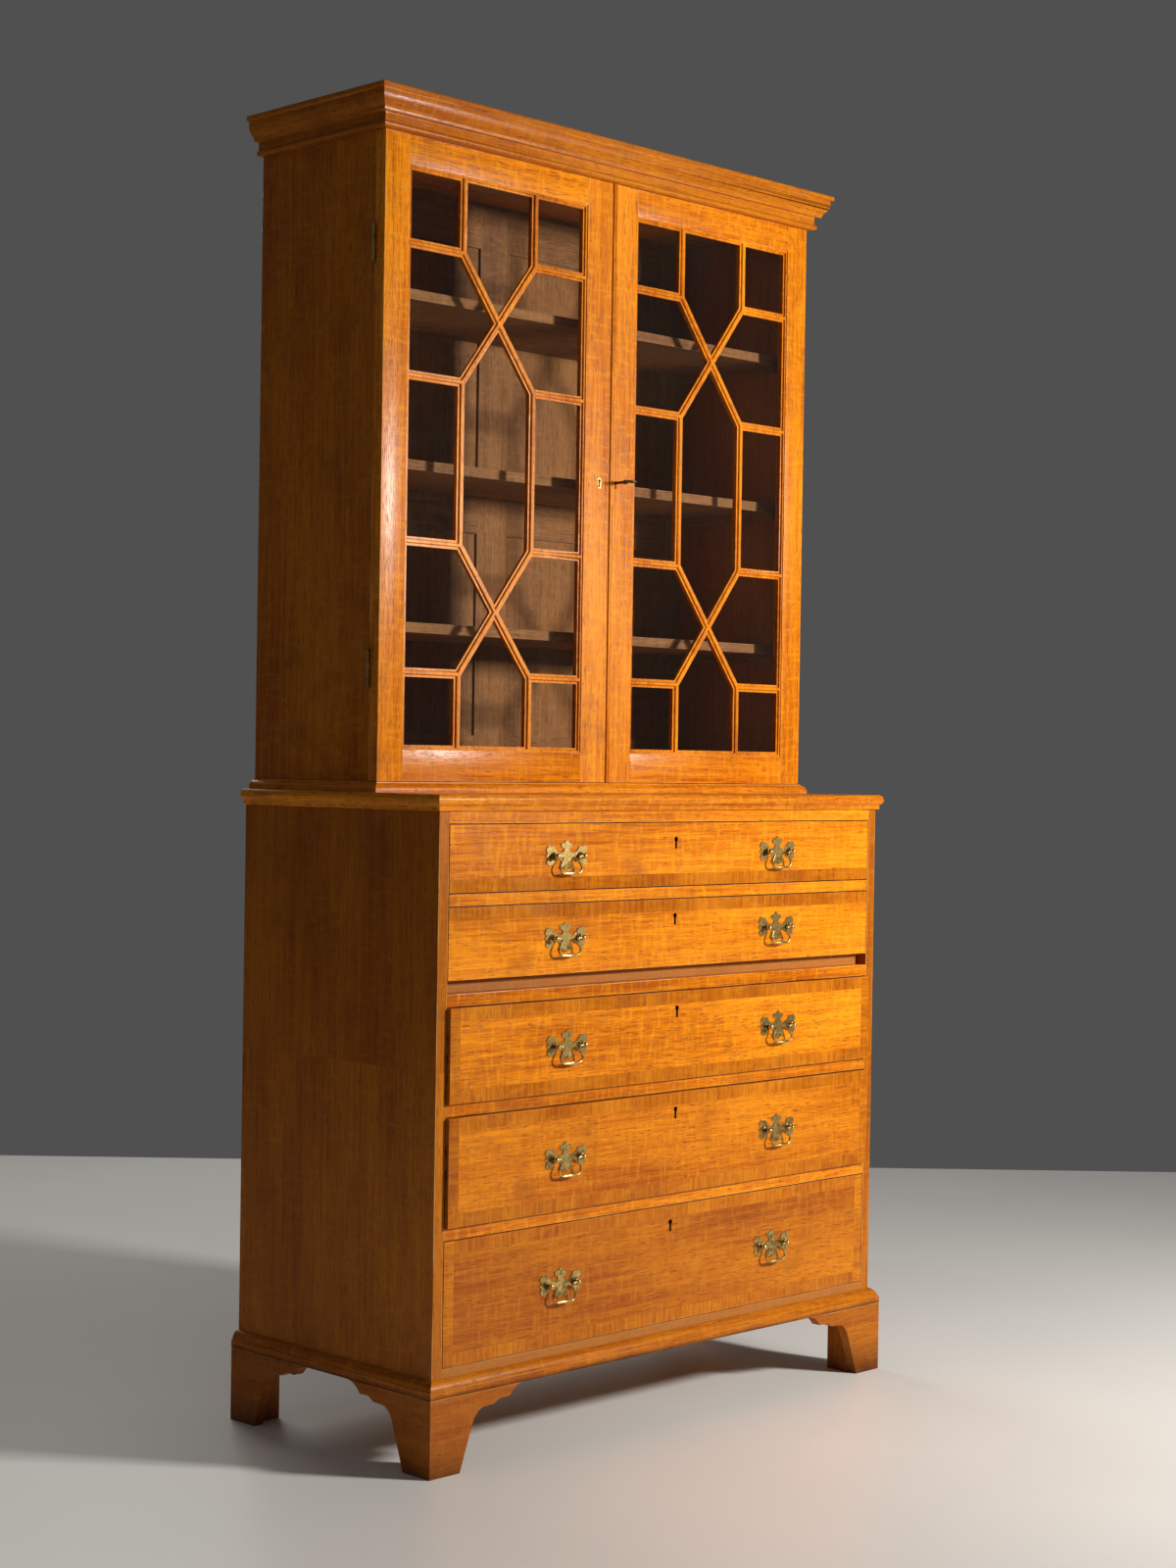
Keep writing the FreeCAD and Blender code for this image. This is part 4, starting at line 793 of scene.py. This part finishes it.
mountMesh = handleMount()
bailPivots = {}
for name, joint in jointOf.items():
    if "_bail_" in name:
        bailPivots.setdefault(joint["parent"], []).append(Vector(joint["pos_m"]))
for body, pivots in bailPivots.items():
    node = "fall_fittings" if body == "fall_front" else f"{body}_fittings"
    spots = [pivot + Vector((0, handle["pivotReach"] + handle["plate"], 0)) for pivot in pivots]
    unspun = (0.0, 0.0, 0.0)
    mounts = repeated(f"{node}_mounts", spots, mountMesh, unspun, materials["aged_brass"])
    shape = keepLock(node)
    shape.from_mesh(mounts)
    shown(f"{node}_brass", meshOf(f"{node}_brass", shape, shading["metalSharp"]), node)
print("stage: handle plates and posts set on", len(bailPivots), "fronts")

bail = {
    "pinEnd": 0.0288,
    "neckStart": 0.023,
    "neckRadius": 0.0045,
    "neckLength": 0.009,
    "heelRadius": 0.009,
    "bend": math.radians(120),
    "bendSteps": 12,
    "rod": 0.0019,
    "belly": 0.0033,
    "swell": 0.16,
    "sides": 14,
    "rings": 100,
    "bellyShare": 0.8,  # hands rub this much of the span between the necks
    "bellyRub": 0.9,
}


def bailLine():
    # The swan-necked line from one post to the other
    place = Vector((bail["neckStart"], 0))
    half = [Vector((bail["pinEnd"], 0)), place.copy()]
    heading = math.pi
    for radius, sign, run in ((bail["neckRadius"], 1, bail["neckLength"]), (bail["heelRadius"], -1, 0)):
        part = bail["bend"] / bail["bendSteps"]
        chord = 2 * radius * math.sin(part / 2)
        for _ in range(bail["bendSteps"]):
            middle = heading + sign * part / 2
            place += chord * Vector((math.cos(middle), math.sin(middle)))
            heading += sign * part
            half.append(place.copy())
        if run:
            place += run * Vector((math.cos(heading), math.sin(heading)))
            half.append(place.copy())
    points = half + [Vector((-point.x, point.y)) for point in reversed(half)]
    curve = bpy.data.curves.new("bailLine", "CURVE")
    curve.dimensions = "3D"
    spline = curve.splines.new("POLY")
    spline.points.add(len(points) - 1)
    for point, spot in zip(spline.points, points):
        point.co = (spot.x, 0, spot.y, 1)
    return curve


def bailTree():
    # A rod along the line, swelling towards its middle
    inputs = {"Rod": "NodeSocketFloat", "Belly": "NodeSocketFloat", "Swell": "NodeSocketFloat",
              "Sides": "NodeSocketInt", "Rings": "NodeSocketInt", "Finish": "NodeSocketMaterial"}
    tree, entry, outlet = nodeTree("swanNeckBail", inputs)
    sockets = {"Curve": entry.outputs["Geometry"], "Count": entry.outputs["Rings"]}
    line = treeNode(tree, "GeometryNodeResampleCurve", {}, sockets)
    along = treeNode(tree, "GeometryNodeSplineParameter", {}, {})
    sockets = {0: along.outputs["Factor"], 1: 0.5}
    offset = treeNode(tree, "ShaderNodeMath", {"operation": "SUBTRACT"}, sockets)
    far = treeNode(tree, "ShaderNodeMath", {"operation": "ABSOLUTE"}, {0: offset.outputs[0]})
    sockets = {"Value": far.outputs[0], "From Min": 0.0, "From Max": entry.outputs["Swell"],
               "To Min": entry.outputs["Belly"], "To Max": entry.outputs["Rod"]}
    thickness = treeNode(tree, "ShaderNodeMapRange", {"interpolation_type": "SMOOTHSTEP"}, sockets)
    sockets = {"Resolution": entry.outputs["Sides"], "Radius": 1.0}
    ring = treeNode(tree, "GeometryNodeCurvePrimitiveCircle", {}, sockets)
    sockets = {"Curve": line.outputs[0], "Profile Curve": ring.outputs["Curve"],
               "Scale": thickness.outputs["Result"], "Fill Caps": True}
    tube = treeNode(tree, "GeometryNodeCurveToMesh", {}, sockets)
    closeTree(tree, tube.outputs[0], entry, outlet)
    return tree


bailValues = {"Rod": bail["rod"], "Belly": bail["belly"], "Swell": bail["swell"], "Sides": bail["sides"],
              "Rings": bail["rings"], "Finish": materials["aged_brass"]}
bailMesh = grown("bail", bailLine(), bailTree(), bailValues)
bailNames = [name for name in nodes if "_bail_" in name]
for name in bailNames:
    pivot = Vector(jointOf[f"{name}_swing"]["pos_m"])
    shape = metalShape()
    shape.from_mesh(bailMesh)
    bmesh.ops.translate(shape, verts=shape.verts, vec=pivot)
    bmesh.ops.recalc_face_normals(shape, faces=shape.faces)
    reach = bail["neckStart"] * bail["bellyShare"]
    belly = [face for face in shape.faces if abs(face.calc_center_median().x - pivot.x) < reach]
    rubbed(shape, belly, bail["bellyRub"])
    shown(f"{name}_brass", meshOf(f"{name}_brass", shape, shading["metalSharp"]), name)
print("stage: bails hung,", len(bailNames))

screw = {
    "radius": 0.0028,
    "slot": 0.0004,
    "proud": 0.00012,
    "steps": 9,
    "spread": 0.33,
    "rub": 0.9,
}
leafFaces = {
    "case_hinge_leaves": Vector((0, -1, 0)),
    "left_door_hinge_leaves": Vector((0, 1, 0)),
    "right_door_hinge_leaves": Vector((0, 1, 0)),
    "secretaire_hinge_leaves": Vector((0, 0, 1)),
    "fall_hinge_leaves": Vector((0, 1, 0)),
}


def screwHead(facing):
    # The two halves of a slotted head that stand just proud of a leaf
    shape = metalShape()
    start = math.asin(screw["slot"] / screw["radius"])
    for side in (0, math.pi):
        rim = []
        for step in range(screw["steps"] + 1):
            angle = side + start + (math.pi - 2 * start) * step / screw["steps"]
            rim.append((screw["radius"] * math.cos(angle), screw["radius"] * math.sin(angle)))
        lower = [shape.verts.new((x, 0, z)) for x, z in rim]
        upper = [shape.verts.new((x, -screw["proud"], z)) for x, z in rim]
        made = [shape.faces.new(lower), shape.faces.new(upper)]
        for step in range(len(rim)):
            after = (step + 1) % len(rim)
            made.append(shape.faces.new((lower[step], lower[after], upper[after], upper[step])))
        rubbed(shape, made, screw["rub"])
    turn = Vector((0, -1, 0)).rotation_difference(facing).to_matrix()
    bmesh.ops.transform(shape, matrix=turn.to_4x4(), verts=shape.verts)
    bmesh.ops.recalc_face_normals(shape, faces=shape.faces)
    return meshOf("screwHead", shape, shading["metalSharp"])


def screwSpots(name, facing):
    # Three places along the broad face of each leaf
    shape = nodeShape(name)
    spots = []
    for group in islands(shape):
        faces = [face for face in group if face.normal.dot(facing) > shading["squareOn"]]
        broad = max(faces, key=lambda face: face.calc_area())
        edge = max(broad.edges, key=lambda item: item.calc_length())
        run = edge.verts[1].co - edge.verts[0].co
        centre = broad.calc_center_bounds()
        spots += [centre + run * screw["spread"] * step for step in (-1, 0, 1)]
    shape.free()
    return spots


for name in nodes:
    if slotOf[name] == "aged_brass" and "_bail_" not in name and "_fittings" not in name:
        shape = metalShape(name)
        edges = fittingEdges["leaf"]
        rubbed(shape, softened(shape, edges["bevel"], edges["shortest"]), handle["rimRub"])
        facing = leafFaces.get(name)
        if facing:
            spin = [abs(part) * math.tau for part in facing]
            screws = repeated(f"{name}_screws", screwSpots(name, facing), screwHead(facing), spin,
                              materials["aged_brass"])
            shape.from_mesh(screws)
        shown(f"{name}_brass", meshOf(f"{name}_brass", shape, shading["woodSharp"]), name)

doorKey = {
    "stem": 0.0026,
    "stemSides": 20,
    # radius and reach of the collared end of the stem, in millimetres from the bow
    "collar": [(1.82, -1), (3.38, 1), (2.6, 3), (4.2, 4), (4.2, 5.5), (2.86, 6.5), (3.57, 7.5), (2.6, 9)],
    "bow": 0.009,
    "bowThick": 0.002,
    "bowFlat": 0.85,
    "bowRub": 0.8,
    "bowSides": 40,
    "ringSides": 12,
    "bitReach": 0.0075,
    "bitLength": 0.006,
    "bitHalf": 0.00125,
}


def keyShape():
    # A ring bow, a collared stem and a bit, along Y
    low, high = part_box("door_key")
    pivot = jointOf["key_turn"]["pos_m"]
    axis = Vector((pivot[0], 0, pivot[2]))
    bow = doorKey["bow"]
    thick = doorKey["bowThick"]
    middle = Vector((axis.x, low.y + bow + thick, axis.z))
    shape = metalShape()
    rings = []
    for step in range(doorKey["bowSides"]):
        angle = math.tau * step / doorKey["bowSides"]
        out = Vector((math.cos(angle), math.sin(angle), 0))
        ring = []
        for side in range(doorKey["ringSides"]):
            turn = math.tau * side / doorKey["ringSides"]
            rise = Vector((0, 0, thick * doorKey["bowFlat"] * math.sin(turn)))
            ring.append(shape.verts.new(middle + out * (bow + thick * math.cos(turn)) + rise))
        rings.append(ring)
    for ring, following in zip(rings, rings[1:] + rings[:1]):
        for side in range(doorKey["ringSides"]):
            after = (side + 1) % doorKey["ringSides"]
            shape.faces.new((ring[side], ring[after], following[after], following[side]))
    start = middle.y + bow
    profile = [(radius / 1000, start + reach / 1000) for radius, reach in doorKey["collar"]]
    profile.append((doorKey["stem"], high.y))
    turned(shape, profile, doorKey["stemSides"], axis)
    block(shape, (axis.x, high.y - doorKey["bitLength"], axis.z - doorKey["bitHalf"]),
          (axis.x + doorKey["bitReach"], high.y, axis.z + doorKey["bitHalf"]))
    bmesh.ops.recalc_face_normals(shape, faces=shape.faces)
    held = [face for face in shape.faces if face.calc_center_median().y < middle.y]
    rubbed(shape, held, doorKey["bowRub"])
    return shape


shown("door_key_iron", meshOf("door_key_iron", keyShape(), shading["metalSharp"]), "door_key")
print("stage: brass and key finished")

room = {
    "floor": rgb(0.88, 0.88, 0.86),
    "floorRough": 0.4,
    "mottle": 0.92,
    "mottleScale": 0.9,
    "mottleDetail": 4.0,
    "mottleRange": (0.3, 0.7),
    "lampColour": (1.0, 0.96, 0.9),
    "sky": rgb(0.5, 0.5, 0.5),
    "skyStrength": 0.16,
    "behind": 2.6,  # the floor ends this far behind the piece, seen from the camera
    "ahead": 9.0,
    "halfWidth": 9.0,
    "slant": math.radians(45),
}


def floorSheet():
    graph = Graph("floor")
    patches = graph.noise(graph.place(), room["mottleScale"], room["mottleDetail"])
    mottle = graph.ramp(patches, *room["mottleRange"])
    darker = [channel * room["mottle"] for channel in room["floor"][:3]]
    mesh = bpy.data.meshes.new("floor")
    back = Vector((math.sin(room["slant"]), math.cos(room["slant"]), 0))
    side = Vector((math.cos(room["slant"]), -math.sin(room["slant"]), 0)) * room["halfWidth"]
    far = back * room["behind"]
    near = -back * room["ahead"]
    mesh.from_pydata([near - side, near + side, far + side, far - side], [], [(0, 1, 2, 3)])
    colour = graph.mix(mottle, rgb(*darker), room["floor"])
    mesh.materials.append(graph.finish({"Base Color": colour, "Roughness": room["floorRough"]}))
    sheet = bpy.data.objects.new("floor", mesh)
    bpy.context.scene.collection.objects.link(sheet)


floorSheet()
lamps = {
    "key": {"place": (1.35, -2.7, 1.8), "target": (0.0, 0.0, 1.1), "power": 118.0, "size": 0.4},
    "fill": {"place": (-3.6, -1.2, 2.4), "target": (0.0, 0.0, 1.1), "power": 2.0, "size": 2.0},
    "back": {"place": (0.8, 3.2, 2.6), "target": (0.0, 0.0, 1.1), "power": 30.0, "size": 1.6},
}
for name, lamp in lamps.items():
    light = bpy.data.lights.new(name, "AREA")
    light.energy = lamp["power"]
    light.size = lamp["size"]
    light.color = room["lampColour"]
    holder = bpy.data.objects.new(name, light)
    holder.visible_camera = False
    holder.location = lamp["place"]
    aim = Vector(lamp["target"]) - Vector(lamp["place"])
    holder.rotation_euler = aim.to_track_quat("-Z", "Y").to_euler()
    bpy.context.scene.collection.objects.link(holder)
world = bpy.data.worlds.new("room")
world.use_nodes = True
sky = world.node_tree.nodes["Background"]
sky.inputs["Color"].default_value = room["sky"]
sky.inputs["Strength"].default_value = room["skyStrength"]
bpy.context.scene.world = world
print("stage: room and lamps set")

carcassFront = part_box("lower_side_left")[0].y
viewer = {
    "place": (-3.2232, -2.9842 + carcassFront, 1.1223),
    "yaw": math.radians(45.22),
    "pitch": math.radians(-0.51),
    "roll": math.radians(0.86),
    "lens": 59.0,
    "sensor": 36.0,
}
yaw = viewer["yaw"]
pitch = viewer["pitch"]
roll = viewer["roll"]
ahead = Vector((math.sin(yaw) * math.cos(pitch), math.cos(yaw) * math.cos(pitch), math.sin(pitch)))
level = Vector((math.cos(yaw), -math.sin(yaw), 0))
upright = level.cross(ahead)
across = level * math.cos(roll) + upright * math.sin(roll)
above = upright * math.cos(roll) - level * math.sin(roll)
lens = bpy.data.cameras.new("camera")
lens.lens = viewer["lens"]
lens.sensor_width = viewer["sensor"]
camera = bpy.data.objects.new("camera", lens)
turn = Matrix((across, above, -ahead)).transposed()
camera.matrix_world = Matrix.Translation(Vector(viewer["place"])) @ turn.to_4x4()
bpy.context.scene.collection.objects.link(camera)
bpy.context.scene.camera = camera
bpy.context.scene.view_settings.view_transform = "Standard"
print("stage: camera set")
